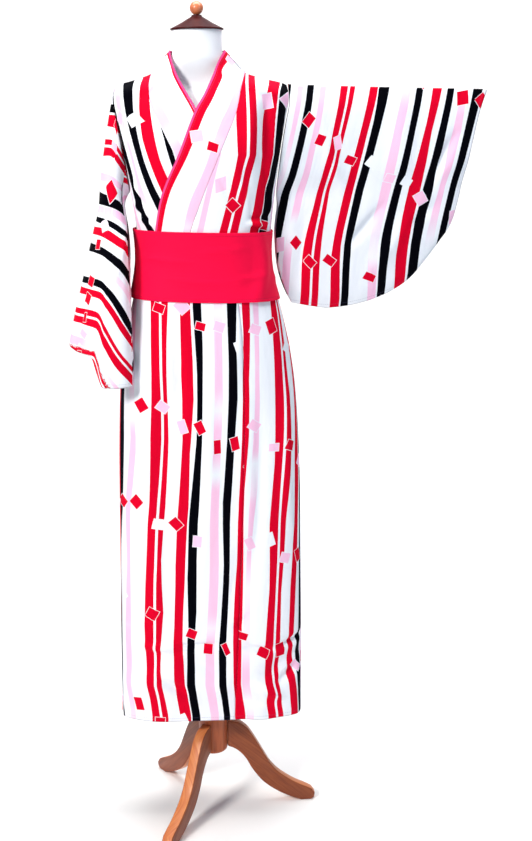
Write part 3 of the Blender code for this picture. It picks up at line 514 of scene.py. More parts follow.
# Creases as ridges (+) and troughs (-): middle across and up, turn, length, width, height, bend
TOP_RIGHT_CREASES = (
    (0.104, 1.555, 92.0, 0.2, 0.018, 0.01, 0.3),
    (0.146, 1.55, 90.0, 0.18, 0.016, -0.009, 0.2),
    (0.15, 1.43, 97.0, 0.13, 0.009, -0.003, 0.0),
    (0.165, 1.385, 60.0, 0.08, 0.006, 0.0035, 0.0),
    (0.15, 1.365, 25.0, 0.07, 0.005, -0.003, 0.0),
    (0.085, 1.44, -68.0, 0.18, 0.011, 0.003, 0.4),
    (0.05, 1.43, -64.0, 0.12, 0.007, -0.0022, 0.0),
    (0.11, 1.375, -80.0, 0.09, 0.006, -0.0022, 0.0),
    (0.122, 1.356, -8.0, 0.06, 0.005, 0.01, 0.0),
    (0.125, 1.37, 5.0, 0.06, 0.005, -0.003, 0.0),
)
TOP_LEFT_CREASES = (
    (-0.175, 1.52, -72.0, 0.22, 0.011, -0.0059, 0.4),
    (-0.19, 1.56, -76.0, 0.18, 0.009, 0.0039, 0.2),
    (-0.15, 1.43, -50.0, 0.08, 0.005, 0.0046, 0.0),
    (-0.142, 1.412, -44.0, 0.07, 0.005, -0.0046, 0.0),
    (-0.152, 1.392, -32.0, 0.07, 0.005, 0.0046, 0.0),
    (-0.135, 1.376, -24.0, 0.06, 0.004, -0.0039, 0.0),
    (-0.12, 1.362, -12.0, 0.08, 0.005, 0.0036, 0.0),
    (-0.09, 1.5, -62.0, 0.16, 0.012, 0.0033, 0.4),
)
TOP_BACK_CREASES = (
    (0.1, 1.5, -75.0, 0.18, 0.014, 0.004, 0.3),
    (-0.1, 1.46, 70.0, 0.16, 0.012, 0.0038, 0.3),
    (0.04, 1.41, 85.0, 0.12, 0.01, -0.0028, 0.0),
    (0.15, 1.4, -35.0, 0.08, 0.006, 0.0035, 0.0),
    (-0.145, 1.385, 28.0, 0.08, 0.006, -0.003, 0.0),
    (-0.05, 1.37, 12.0, 0.1, 0.006, 0.0025, 0.0),
)
OUT_CREASES = (
    (0.345, 1.48, 62.0, 0.17, 0.01, -0.01, 0.0),
    (0.165, 1.34, 48.0, 0.15, 0.01, -0.0081, 0.0),
    (0.08, 1.5, -68.0, 0.22, 0.016, 0.0054, 0.4),
    (0.25, 1.52, 80.0, 0.24, 0.026, 0.0061, -0.3),
    (0.23, 1.3, 55.0, 0.18, 0.018, 0.0054, 0.0),
    (0.02, 1.3, 84.0, 0.2, 0.014, -0.0047, 0.0),
    (0.3, 1.36, 40.0, 0.12, 0.012, -0.0041, 0.0),
)
HANG_CREASES = (
    (0.06, 1.15, 80.0, 0.2, 0.01, 0.0032, 0.0),
    (0.15, 1.3, 97.0, 0.18, 0.009, -0.004, 0.0),
    (0.12, 1.42, 60.0, 0.08, 0.006, 0.004, 0.0),
)
SKIRT_CREASES = (
    (0.05, 0.24, 0.0, 0.42, 0.085, -0.0115, 0.0),
    (-0.02, 0.375, -22.0, 0.22, 0.026, -0.0115, 0.0),
    (0.165, 0.37, 28.0, 0.2, 0.024, -0.0115, 0.0),
    (-0.13, 0.34, 20.0, 0.18, 0.028, 0.0098, 0.0),
    (0.08, 0.285, -14.0, 0.22, 0.02, -0.0105, 0.0),
    (0.06, 0.56, 74.0, 0.26, 0.026, -0.0098, 0.0),
    (-0.09, 0.9, 84.0, 0.3, 0.022, -0.0084, 0.0),
    (-0.025, 0.424, 3.0, 0.13, 0.008, -0.0115, 0.0),
    (0.11, 0.414, -6.0, 0.09, 0.008, -0.011, 0.0),
    (0.19, 0.424, 14.0, 0.1, 0.008, -0.0115, 0.0),
    (-0.11, 0.42, -4.0, 0.11, 0.008, 0.0085, 0.0),
    (0.07, 0.475, 48.0, 0.07, 0.008, -0.0085, 0.0),
    (0.185, 0.345, 34.0, 0.1, 0.01, -0.0115, 0.0),
    (0.13, 0.31, -30.0, 0.11, 0.011, 0.01, 0.0),
    (-0.08, 0.325, -34.0, 0.12, 0.011, -0.0115, 0.0),
    (0.03, 0.33, 62.0, 0.1, 0.014, 0.0063, 0.0),
    (0.005, 0.8, 88.0, 0.56, 0.018, 0.0084, 0.2),
    (-0.12, 0.68, 92.0, 0.64, 0.02, 0.0084, 0.3),
    (0.115, 0.76, 87.0, 0.56, 0.015, -0.0091, 0.2),
    (0.18, 0.86, 90.0, 0.42, 0.014, 0.0084, -0.3),
    (-0.055, 1.04, 91.0, 0.24, 0.012, -0.007, 0.0),
    (0.07, 1.08, 86.0, 0.2, 0.011, 0.0063, 0.0),
)
SKIRT_BACK_CREASES = (
    (0.05, 0.425, 5.0, 0.16, 0.005, -0.0032, 0.0),
    (-0.09, 0.415, -6.0, 0.13, 0.005, -0.003, 0.0),
    (0.12, 0.75, 88.0, 0.55, 0.018, 0.0045, 0.2),
    (-0.07, 0.7, 91.0, 0.62, 0.02, -0.0042, 0.3),
    (-0.17, 0.82, 93.0, 0.46, 0.015, 0.0038, -0.2),
    (0.04, 1.06, 87.0, 0.22, 0.012, -0.003, 0.0),
    (0.17, 0.33, -48.0, 0.11, 0.01, -0.0035, 0.0),
)
SASH_CREASES = (
    (0.486, 1.27, 92.0, 0.23, 0.02, 0.01, 0.1),
    (0.4, 1.305, 3.0, 0.14, 0.006, 0.0024, 0.0),
    (0.34, 1.24, -5.0, 0.16, 0.006, 0.0022, 0.0),
    (0.46, 1.245, 5.0, 0.12, 0.007, 0.0024, 0.0),
    (0.27, 1.285, -4.0, 0.14, 0.007, 0.0024, 0.0),
    (0.6, 1.235, -4.0, 0.18, 0.007, 0.002, 0.0),
    (0.85, 1.26, -3.0, 0.2, 0.007, 0.0024, 0.0),
    (0.08, 1.3, 6.0, 0.15, 0.006, -0.0022, 0.0),
)

# Lights: place, what each looks at, size, watts and colour
LIGHTS = {
    "key": ((-2.2, -2.95, 2.95), (-0.1, 0.0, 1.0), 0.8, 150.0, (1.0, 0.985, 0.96)),
    "fill": ((2.8, -2.6, 1.8), (0.0, 0.0, 1.0), 2.2, 30.0, (0.62, 0.82, 1.0)),
    "top": ((0.3, 1.5, 3.6), (0.0, 0.0, 1.0), 2.0, 8.0, (0.7, 0.88, 1.0)),
    "paper": ((0.0, 0.8, 4.2), (0.0, 4.0, 0.6), 3.5, 255.0, (1.0, 0.985, 0.97)),
}

# Light from all round, and the paper: its tone, how far it reaches each way, and the bend at its back
WORLD_COLOUR = (0.35, 0.62, 1.0, 1.0)
WORLD_STRENGTH = 0.12
PAPER_TONE = (0.94, 0.92, 0.9)
PAPER_REACH = 5.0
PAPER_BEND = 1.5

# Camera: its place, its focal length and the photograph's height in pixels, how far the horizon lies above
# the photograph's middle, its roll, and its sensor's height in millimetres
CAMERA_PLACE = (POST_X + 0.13, POST_Y - 3.0, 1.55)
FOCAL_PIXELS = 1380.0
PHOTO_PIXELS = 841.0
HORIZON_PIXELS = 290.5
CAMERA_ROLL = math.radians(0.55)
SENSOR = 24.0


def hermite(t, low, high, leaving, arriving):
    """Cubic between two values at a share t, with its slopes at both ends."""
    return (
        (1 + 2 * t) * (1 - t) ** 2 * low
        + t * (1 - t) ** 2 * leaving
        + t * t * (3 - 2 * t) * high
        + t * t * (t - 1) * arriving
    )


def smooth(knots, values, at):
    """Cubic curve through the values at rising knots, read at each place in at. It never overshoots."""
    step = np.diff(knots)
    slope = np.diff(values) / step
    tangent = np.empty(len(knots))
    tangent[0], tangent[-1] = slope[0], slope[-1]
    for i in range(1, len(knots) - 1):
        before, after = slope[i - 1], slope[i]
        tangent[i] = 0.0 if before * after <= 0 else 2 * before * after / (before + after)
    at = np.clip(np.asarray(at, float), knots[0], knots[-1])
    low = np.clip(np.searchsorted(knots, at, side="right") - 1, 0, len(step) - 1)
    h = step[low]
    t = (at - knots[low]) / h
    return hermite(t, values[low], values[low + 1], h * tangent[low], h * tangent[low + 1])


def ease(value):
    """Soft step from 0 at 0 to 1 at 1."""
    value = np.clip(value, 0.0, 1.0)
    return value * value * (3 - 2 * value)


def lengths(points):
    """Distance along a row of points."""
    return np.concatenate([[0.0], np.cumsum(np.linalg.norm(np.diff(points, axis=0), axis=1))])


def spaced(points, count):
    """Evenly spaced points along a fine row of points."""
    along = lengths(points)
    at = np.linspace(0.0, along[-1], count)
    return np.stack([np.interp(at, along, points[:, k]) for k in range(points.shape[1])], axis=1)


def through(points, count):
    """Evenly spaced points on a smooth curve through a few."""
    points = np.asarray(points, float)
    along = lengths(points)
    between = np.linspace(0.0, along[-1], 20 * len(points))
    return spaced(np.stack([smooth(along, column, between) for column in points.T], axis=1), count)


def signed_power(value, power):
    """Power that keeps the sign."""
    return np.sign(value) * np.abs(value) ** power


def sizes_at(sizes, names, z):
    """Named columns of a table of sections, read at a height."""
    return [smooth(sizes["z"], sizes[name], z) for name in names.split()]


def section(sizes, angle, z):
    """Point of a table's section. The angle is 0 at the viewer's right, 90 degrees in front, -90 behind."""
    z = np.asarray(z, float)
    wide, front, back, square, middle = sizes_at(sizes, "half_width front back square middle", z)
    cos, sin = np.cos(angle), np.sin(angle)
    deep = np.where(sin > 0, front, back)
    x = middle + wide * signed_power(cos, 2 / square)
    y = -deep * signed_power(sin, 2 / square)
    return np.stack([x, y, z + 0 * x], axis=-1)


def fold_height(angle, z):
    """How far the soft folds push the cloth out, at an angle and a height."""
    total = 0 * (angle + z)
    for at, spread, crest, top, bottom in FOLDS:
        turn = (np.degrees(angle) - at + 180.0) % 360.0 - 180.0
        total = total + crest * np.exp(-((turn / spread) ** 2)) * ease((z - top) / (bottom - top))
    return total


def body(angle, z, lift=0.0):
    """Point of the garment's inner face on the form, or lift outside it."""
    angle, z = np.broadcast_arrays(np.asarray(angle, float), np.asarray(z, float))
    around = section(BODY, angle + NUDGE, z) - section(BODY, angle - NUDGE, z)
    upward = section(BODY, angle, z + NUDGE) - section(BODY, angle, z - NUDGE)
    normal = np.cross(upward, around)
    normal /= np.linalg.norm(normal, axis=-1, keepdims=True)
    out = np.asarray(lift, float) + fold_height(angle, z)
    return section(BODY, angle, z) + normal * out[..., None]


def angle_at(x, z):
    """Angle at which the front of the body's section has this x."""
    wide, square, middle = sizes_at(BODY, "half_width square middle", z)
    share = np.clip((x - middle) / wide, -1.0, 1.0)
    return np.arccos(signed_power(share, square / 2))


def share_right(angle, z):
    """How far to the viewer's right a point lies, as a share of the half width there."""
    return signed_power(np.cos(angle), 2 / sizes_at(BODY, "square", z)[0])


def wrap_lift(angle, z):
    """Lift of the pieces that wrap over the others, which fades towards the viewer's right and the neck."""
    beside = ease((WRAP_END_SHARE - share_right(angle, z)) / WRAP_FADE_SHARE)
    return WRAP_LIFT * beside * ease((WRAP_END_Z - z) / WRAP_FADE_Z)


def sash_lift(angle, z):
    """Lift of the sash, which is snug at the viewer's right and passes over the wrapped fronts."""
    return SASH_SNUG + SASH_OVER_WRAP * ease((SASH_END_SHARE - share_right(angle, z)) / SASH_FADE_SHARE)


def run(start, end, count, lift):
    """Evenly spaced points on the body between two (angle, z) places, with their lift."""
    share = np.linspace(0.0, 1.0, RUN_DRAWN)
    angle = start[0] + (end[0] - start[0]) * share
    z = start[1] + (end[1] - start[1]) * share
    return spaced(body(angle, z, lift(angle, z)), count)


def flat_lift(angle, z):
    """No lift, for the pieces that lie on the form."""
    return 0 * angle


def patch(left, right, bottom, top):
    """Surface between four edges. left and right run up, bottom and top run from left to right."""
    across = np.linspace(0.0, 1.0, len(bottom))[None, :, None]
    upward = np.linspace(0.0, 1.0, len(left))[:, None, None]
    sides = (1 - across) * left[:, None] + across * right[:, None]
    ends = (1 - upward) * bottom[None] + upward * top[None]
    corners = (1 - upward) * ((1 - across) * bottom[0] + across * bottom[-1])
    corners = corners + upward * ((1 - across) * top[0] + across * top[-1])
    return sides + ends - corners


def trimmed(points, edges, gap=SEAM_GAP):
    """The same grid with the named edges drawn in by half a gap."""
    points = points.copy()
    for edge in edges:
        lines = points if edge.endswith("row") else points.transpose(1, 0, 2)
        here, near = (0, 1) if edge.startswith("first") else (-1, -2)
        step = lines[near] - lines[here]
        lines[here] += step / np.linalg.norm(step, axis=1, keepdims=True) * gap / 2
    return points


def fine(grid, counts):
    """The same surface with more rows and columns, along smooth curves through the coarse one's points."""
    for axis, count in enumerate(counts):
        points = np.moveaxis(grid, axis, 0)
        tangent = np.gradient(points, axis=0)
        at = np.linspace(0.0, len(points) - 1.0, count)
        low = np.minimum(at.astype(int), len(points) - 2)
        t = (at - low).reshape(-1, *[1] * (points.ndim - 1))
        points = hermite(t, points[low], points[low + 1], tangent[low], tangent[low + 1])
        grid = np.moveaxis(points, 0, axis)
    return grid


def from_axis(points):
    """Direction away from the post for each point."""
    return points * np.array([1.0, 1.0, 0.0]) + np.array([0.0, 0.0, 0.1])


def grid_normals(grid, outward):
    """Unit normals of a grid of points, on the side that outward points to."""
    normal = np.cross(np.gradient(grid, axis=0), np.gradient(grid, axis=1))
    normal /= np.maximum(np.linalg.norm(normal, axis=-1, keepdims=True), 1e-12)
    return normal if (normal * outward).sum() > 0 else -normal


def along_rows(grid):
    """Distance along each row of a grid, from its first column."""
    step = np.linalg.norm(np.diff(grid, axis=1), axis=-1)
    return np.concatenate([np.zeros((len(grid), 1)), np.cumsum(step, axis=1)], axis=1)


def along_columns(grid):
    """Distance along each column of a grid, from its first row."""
    return along_rows(grid.transpose(1, 0, 2)).T


def creased(place, table):
    """Height of the soft ridges (+) and troughs (-) of a table, at each place on a piece laid flat."""
    total = 0 * place[..., 0]
    for across, along, turn, length, width, height, bend in table:
        turn = math.radians(turn)
        x, y = place[..., 0] - across, place[..., 1] - along
        down = x * math.cos(turn) + y * math.sin(turn)
        side = y * math.cos(turn) - x * math.sin(turn) - bend * down * down
        fade = np.clip(1 - (2 * down / length) ** 2, 0.0, 1.0) ** 1.5
        total = total + height * fade * np.exp(-((side / width) ** 2))
    return total


def linear(code):
    """Linear colour of an sRGB hex code."""
    parts = [int(code[i:i + 2], 16) / 255 for i in (0, 2, 4)]
    return tuple(p / 12.92 if p <= 0.04045 else ((p + 0.055) / 1.055) ** 2.4 for p in parts)


def add(tree, kind, *inputs, **settings):
    """New shader node. Sockets are filled in order, or by name from a dict; a node means its first output."""
    node = tree.nodes.new("ShaderNode" + kind)
    for name, value in settings.items():
        setattr(node, name, value)
    filled = {}
    for number, value in enumerate(inputs):
        filled.update(value if isinstance(value, dict) else {number: value})
    for name, value in filled.items():
        value = value.outputs[0] if isinstance(value, bpy.types.Node) else value
        if isinstance(value, bpy.types.NodeSocket):
            tree.links.new(value, node.inputs[name])
        else:
            node.inputs[name].default_value = value
    return node


def calc(tree, operation, *inputs, **settings):
    """New shader node that does a sum with numbers."""
    return add(tree, "Math", *inputs, operation=operation, **settings)


def vector(tree, operation, *inputs):
    """New shader node that does a sum with vectors."""
    return add(tree, "VectorMath", *inputs, operation=operation)


def new_material(name, roughness, **constants):
    """Empty material with a surface shader, whose constant settings are given by socket name."""
    material = bpy.data.materials.new(name)
    material.use_nodes = True
    shader = material.node_tree.nodes["Principled BSDF"]
    shader.inputs["Roughness"].default_value = roughness
    shader.inputs["IOR"].default_value = IOR
    for socket, value in constants.items():
        shader.inputs[socket.replace("_", " ")].default_value = value
    return material, material.node_tree


def surfaced(material, colour, bump=None):
    """The material with its colour and its bump joined to the surface shader."""
    tree = material.node_tree
    shader = tree.nodes["Principled BSDF"]
    tree.links.new(colour.outputs[0], shader.inputs["Base Color"])
    if bump:
        tree.links.new(bump.outputs[0], shader.inputs["Normal"])
    return material


def bumpy(tree, height, strength, distance=0.0003, **others):
    """Small relief from a height."""
    return add(tree, "Bump", {"Strength": strength, "Distance": distance, "Height": height, **others})


def clouded(tree, place, scale, detail, low, high=1.0):
    """Tone that varies softly over a surface between two levels."""
    cloudy = add(tree, "TexNoise", {"Vector": place, "Scale": scale, "Detail": detail})
    return add(tree, "MapRange", {"Value": cloudy, "To Min": low, "To Max": high})


def kinked(tree, along, seed, step):
    """Value from 0 to 1 that runs straight from one random height to the next, like a line cut by knife."""
    place = calc(tree, "DIVIDE", along, step)
    whole = calc(tree, "FLOOR", place)
    here, there = (
        add(tree, "TexWhiteNoise", add(tree, "CombineXYZ", count, seed), noise_dimensions="2D")
        for count in (whole, calc(tree, "ADD", whole, 1.0))
    )
    return add(tree, "MapRange", {"Value": calc(tree, "FRACT", place), "To Min": here, "To Max": there})


def stepped(tree, place, rows):
    """Ramp that gives each row's colour from its place onwards, with no blending."""
    ramp = add(tree, "ValToRGB", place)
    ramp.color_ramp.interpolation = "CONSTANT"
    stops = ramp.color_ramp.elements
    while len(stops) < len(rows):
        stops.new(0.5)
    for stop, (start, colour) in zip(sorted(stops, key=lambda s: s.position), sorted(rows)):
        stop.position = start
        stop.color = colour
    return ramp


def stripe_mask(tree, across, along, stripes, colours):
    """Where the wavering stripes of a chart lie and what colour they have."""
    cell = calc(tree, "DIVIDE", across, REPEAT)
    turn = calc(tree, "FLOOR", cell)
    share = calc(tree, "FRACT", cell)
    middles = [row[0] for row in stripes]
    starts = [0.0] + [(low + high) / 2 / REPEAT for low, high in zip(middles, middles[1:])]
    shapes, paints = [], []
    for start, (middle, width, waver, slit, colour) in zip(starts, stripes):
        shapes.append((start, (middle / REPEAT, width / 2 / REPEAT, waver / REPEAT, slit / REPEAT)))
        paints.append((start, (*colours[colour], 0.0 if colour == "pink" else 1.0)))
    shape = stepped(tree, share, shapes)
    paint = stepped(tree, share, paints)
    middle, half, waver = add(tree, "SeparateColor", shape.outputs["Color"]).outputs
    seed = calc(tree, "MULTIPLY_ADD", middle, 91.7, turn)
    drift = calc(tree, "SUBTRACT", kinked(tree, along, seed, MIDDLE_KINKS), 0.5)
    beside = calc(tree, "SUBTRACT", share, calc(tree, "MULTIPLY_ADD", drift, waver, middle))
    sides = []
    for sign, step in zip((1.0, -1.0), EDGE_KINKS):
        uneven = kinked(tree, along, calc(tree, "ADD", seed, 7.3 * sign), step)
        reach = calc(tree, "MULTIPLY_ADD", uneven, EDGE_OUT / REPEAT, -EDGE_IN / REPEAT)
        reach = calc(tree, "ADD", reach, half)
        sides.append(calc(tree, "LESS_THAN", calc(tree, "MULTIPLY", beside, sign), reach))
    slit = calc(tree, "COMPARE", beside, shape.outputs["Alpha"], HALF_SLIT / REPEAT)
    inside = calc(tree, "SUBTRACT", calc(tree, "MULTIPLY", *sides), slit, use_clamp=True)
    fading = {"Value": kinked(tree, along, seed, FADE_KINKS), "From Min": FADE_FROM, "From Max": FADE_TO}
    faded = add(tree, "MapRange", fading, interpolation_type="SMOOTHSTEP")
    lasting = calc(tree, "MAXIMUM", faded, paint.outputs["Alpha"])
    return calc(tree, "MULTIPLY", inside, lasting), paint.outputs["Color"]


def scattered_squares(tree, place, size, chains):
    """Small tilted squares, one or none in each square of a grid, kept to loose chains across it. Gives the
    squares with their rims, the squares alone, and a random value for each."""
    way, wide = chains
    grid = vector(tree, "SCALE", place, {"Scale": 1 / size})
    whole = vector(tree, "FLOOR", grid)
    dice = add(tree, "TexWhiteNoise", whole, noise_dimensions="2D")
    more = add(tree, "TexWhiteNoise", vector(tree, "ADD", whole, (31.0, 17.0, 0.0)), noise_dimensions="2D")
    shift = vector(tree, "MULTIPLY_ADD", dice.outputs["Color"], (SQUARE_START, SQUARE_START, 0.0),
                   (SQUARE_ROAM, SQUARE_ROAM, 0.0))
    local = vector(tree, "SUBTRACT", vector(tree, "FRACTION", grid), shift)
    tilt = calc(tree, "MULTIPLY", more, SQUARE_TILT)
    turned = add(tree, "VectorRotate", {"Vector": local, "Angle": tilt}, rotation_type="Z_AXIS")
    parts = add(tree, "SeparateXYZ", turned)
    chances = add(tree, "SeparateColor", more.outputs["Color"]).outputs
    reaches = [
        calc(tree, "MULTIPLY_ADD", chance, SQUARE_UNLIKE, low) for chance, low in zip(chances, SQUARE_HALVES)
    ]
    slant = vector(tree, "DOT_PRODUCT", whole, way)
    chain = calc(tree, "FLOORED_MODULO", slant.outputs["Value"], CHAIN_PITCH)
    kept = calc(tree, "MULTIPLY", calc(tree, "LESS_THAN", chain, wide),
                calc(tree, "LESS_THAN", chances[2], SQUARES_KEPT))
    shown = []
    for rim in (SQUARE_RIM, 0.0):
        inside = kept
        for axis, reach in enumerate(reaches):
            away = calc(tree, "SUBTRACT", calc(tree, "ABSOLUTE", parts.outputs[axis]), rim)
            inside = calc(tree, "MULTIPLY", inside, calc(tree, "LESS_THAN", away, reach))
        shown.append(inside)
    return *shown, dice


def print_material(name, settings, stripes, piping=False, chains=SLANTED_CHAINS):
    """White cotton with printed stripes. Smooth fine cotton gives back an even light and hardly any shine."""
    material, tree = new_material(name, 0.85, Specular_IOR_Level=0.05)
    colours = {tone: tuple(getattr(settings, tone)) for tone in ("ground", "red", "black", "pink", "piping")}
    flat = add(tree, "UVMap", uv_map="print")
    parts = add(tree, "SeparateXYZ", flat)
    mask, paint = stripe_mask(tree, parts.outputs[0], parts.outputs[1], stripes, colours)
    rimmed, shown, dice = scattered_squares(tree, flat, settings.square_spacing, chains)
    tint = stepped(tree, dice, [(start, (*colours[tone], 1.0)) for start, tone in SQUARE_TINTS])
    edge = add(tree, "SeparateXYZ", add(tree, "UVMap", uv_map="edge"))
    ground = (*colours["ground"], 1.0)
    cloth = add(tree, "MixRGB", mask, ground, paint)
    cloth = add(tree, "MixRGB", rimmed, cloth, ground)
    cloth = add(tree, "MixRGB", shown, cloth, tint)
    if piping:
        near = calc(tree, "LESS_THAN", edge.outputs[1], PIPING_WIDTH)
        cloth = add(tree, "MixRGB", near, cloth, (*colours["piping"], 1.0))
    # Painted shadow: a thin dark band along the sewn edges stands in for the shade of the turned edge.
    fold = calc(tree, "LESS_THAN", edge.outputs[1], EDGE_LINE)
    cloth = add(tree, "MixRGB", calc(tree, "MULTIPLY", fold, 0.45), cloth, EDGE_SHADOW)
    stitch = stitch_line(tree, edge, HEM_STITCHES)
    cloth = add(tree, "MixRGB", calc(tree, "MULTIPLY", stitch, 0.5), cloth, THREAD)
    height = calc(tree, "MULTIPLY_ADD", stitch, -1.5, weave_height(tree, flat, settings.weave_size))
    drawn = vector(tree, "MULTIPLY", flat, (1.0, 0.35, 1.0))
    slack = add(tree, "TexNoise", {"Vector": drawn, "Scale": 16.0, "Detail": 3.0})
    soft = bumpy(tree, slack, 1.0, 0.006)
    return surfaced(material, cloth, bumpy(tree, height, 0.35, 0.0002, Normal=soft))


def stitch_line(tree, edge, distance):
    """Row of sewn stitches at a distance from the edge, 3 mm long with 1.5 mm between them."""
    off = calc(tree, "COMPARE", edge.outputs[1], distance, STITCH_HALF_WIDTH)
    dash = calc(tree, "FRACT", calc(tree, "DIVIDE", edge.outputs[0], STITCH_PITCH))
    return calc(tree, "MULTIPLY", off, calc(tree, "LESS_THAN", dash, STITCH_SHARE))


def weave_height(tree, place, size):
    """Plain weave: threads both ways, drawn coarser than real ones so that they show at all."""
    grid = vector(tree, "SCALE", place, {"Scale": math.pi / size})
    parts = add(tree, "SeparateXYZ", grid)
    return calc(tree, "MULTIPLY", *(calc(tree, "SINE", parts.outputs[axis]) for axis in (0, 1)))


def sash_material(settings):
    """Crimson sash cloth, closely ribbed along its length, which takes the light more evenly than silk."""
    material, tree = new_material("crimson sash cloth", 0.75, Sheen_Weight=0.03, Sheen_Roughness=0.5,
                                  Specular_IOR_Level=0.12)
    flat = add(tree, "UVMap", uv_map="print")
    edge = add(tree, "SeparateXYZ", add(tree, "UVMap", uv_map="edge"))
    stitch = stitch_line(tree, edge, SASH_STITCHES)
    tone = calc(tree, "MULTIPLY_ADD", stitch, -0.4, clouded(tree, flat, 9.0, 3.0, 0.92, 1.06))
    colour = vector(tree, "SCALE", tuple(settings.sash), {"Scale": tone})
    up = add(tree, "SeparateXYZ", flat).outputs[1]
    ribs = calc(tree, "SINE", calc(tree, "MULTIPLY", up, RIBS))
    height = calc(tree, "MULTIPLY_ADD", stitch, -3.0, ribs)
    return surfaced(material, colour, bumpy(tree, height, 0.4))


def cover_material(settings):
    """White jersey drawn over padding: matt and finely knitted, with a slightly uneven tone."""
    material, tree = new_material("white jersey cover", 0.85, Sheen_Weight=0.1, Specular_IOR_Level=0.2)
    place = add(tree, "TexCoord").outputs["Object"]
    colour = vector(tree, "SCALE", tuple(settings.cover), {"Scale": clouded(tree, place, 14.0, 4.0, 0.94)})
    knit = add(tree, "TexNoise", {"Vector": place, "Scale": 900.0, "Detail": 1.0})
    return surfaced(material, colour, bumpy(tree, knit, 0.3))


def wood_material(name, light, dark, stretch, coat, shine=0.5, uv=None):
    """Varnished wood: a streaky grain that runs along the piece, under a clear coat with soft highlights."""
    material, tree = new_material(name, 0.42, Coat_Weight=coat, Coat_Roughness=0.18, Specular_IOR_Level=shine)
    place = add(tree, "UVMap", uv_map=uv) if uv else add(tree, "TexCoord").outputs["Object"]
    drawn = vector(tree, "MULTIPLY", place, stretch)
    streaks = {"Vector": drawn, "Scale": 1.0, "Detail": 5.0, "Roughness": 0.6, "Distortion": 0.6}
    pores = add(tree, "TexNoise", {"Vector": drawn, "Scale": 5.0, "Detail": 2.0})
    grain = calc(tree, "MULTIPLY_ADD", pores, 0.35, add(tree, "TexNoise", streaks))
    share = add(tree, "MapRange", {"Value": grain, "From Min": 0.45, "From Max": 0.90})
    colour = add(tree, "MixRGB", share, (*dark, 1.0), (*light, 1.0))
    return surfaced(material, colour, bumpy(tree, grain, 0.15))


def paper_material():
    """Plain pale studio paper: matt, with a hardly visible unevenness."""
    material, tree = new_material("studio paper", 0.9, Specular_IOR_Level=0.1)
    tone = clouded(tree, add(tree, "TexCoord").outputs["Object"], 3.0, 2.0, 0.98)
    return surfaced(material, vector(tree, "SCALE", PAPER_TONE, {"Scale": tone}))


def placed(name, mesh, material):
    """Object from a finished bmesh."""
    data = bpy.data.meshes.new(name)
    mesh.to_mesh(data)
    mesh.free()
    data.shade_smooth()
    data.materials.append(material)
    made = bpy.data.objects.new(name, data)
    bpy.context.scene.collection.objects.link(made)
    return made


def show(name, mesh, material, node, sharp=None):
    """Object from a finished bmesh in the place of a solid, which it hides, with the material given."""
    made = placed(name, mesh, material)
    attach(made, "root")
    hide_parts(node)
    if sharp:
        made.data.set_sharp_from_angle(angle=math.radians(sharp))
    return made


def grid_mesh(grid):
    """Mesh of a grid of points, which are given from the post's middle."""
    mesh = bmesh.new()
    bmesh.ops.create_grid(mesh, x_segments=grid.shape[1] - 1, y_segments=grid.shape[0] - 1, size=1.0)
    mesh.verts.ensure_lookup_table()
    for vert, point in zip(mesh.verts, (grid + (POST_X, POST_Y, 0.0)).reshape(-1, 3)):
        vert.co = point
    return mesh


def edge_places(grid, sides):
    """Distance along a piece and distance from the nearest of its named edges, for each point."""
    across, along = along_rows(grid), along_columns(grid)
    reach = {
        "first_column": across, "last_column": across[:, -1:] - across, "first_row": along,
        "last_row": along[-1:] - along,
    }
    near = np.min([reach[side] for side in sides], axis=0) if sides else 1 + 0 * across
    return np.stack([across + along, near], axis=-1)


def lay_cloth(node, grid, place, printed, material, sides=(), creases=(), outward=None, thick=THIN,
              soft=0.0):
    """Thin cloth over the inside of one solid's wall, with its creases, and its print and its edges as UV maps.
    place says where each point lies on the piece laid flat."""
    outward = from_axis(grid) if outward is None else outward
    height = creased(place, creases) * bpy.context.scene.kimono.crease_depth
    grid = grid + grid_normals(grid, outward) * (INSET + height)[..., None]
    mesh = grid_mesh(grid)
    mesh.normal_update()
    out = np.broadcast_to(outward, grid.shape).reshape(-1, 3)
    if sum(vert.normal.dot(way) for vert, way in zip(mesh.verts, out.tolist())) < 0:
        bmesh.ops.reverse_faces(mesh, faces=mesh.faces[:])
    made = show(node + "_cloth", mesh, material, node)
    corner = np.empty(len(made.data.loops), np.int32)
    made.data.loops.foreach_get("vertex_index", corner)
    for layer, values in (("print", printed), ("edge", edge_places(grid, sides))):
        made.data.uv_layers.new(name=layer).data.foreach_set("uv", values.reshape(-1, 2)[corner].ravel())
    wall = made.modifiers.new("cloth thickness", "SOLIDIFY")
    wall.thickness = thick
    wall.offset = 1.0
    wall.use_rim = True
    if soft:
        rounding = made.modifiers.new("soft edges", "BEVEL")
        rounding.width = soft
        rounding.segments = 2


def collar_line(side, line):
    """Seam or free edge of the collar on one side, as (angle, z) places from the shoulder down."""
    chart = COLLAR_OF_SIDE[side]
    path = through(np.stack([chart[line + "_x"], chart[line + "_z"]], axis=1), TOP_ROWS)
    return np.stack([angle_at(path[:, 0], path[:, 1]), path[:, 1]], axis=1)


def front_collar_grid(side, lift):
    """Stretch of the collar down one front, from the shoulder to below the sash's top."""
    ends = zip(collar_line(side, "seam"), collar_line(side, "edge"))
    grid = np.stack([run(seam, edge, COLLAR_ACROSS, lift) for seam, edge in ends])
    return trimmed(grid, ("first_row", "first_column"))


def back_neck_line(side):
    """Seam of the collar from the centre back to one shoulder, as (angle, z) places. side is 1 or -1."""
    turn = np.linspace(0.0, math.pi / 2, NECK_STATIONS)
    x = COLLAR_OF_SIDE[side]["seam_x"][0] * np.sin(turn)
    z = COLLAR_SEAM_Z - BACK_NECK_DROP * np.cos(turn) ** 2
    return np.stack([-angle_at(x, z), z], axis=1)


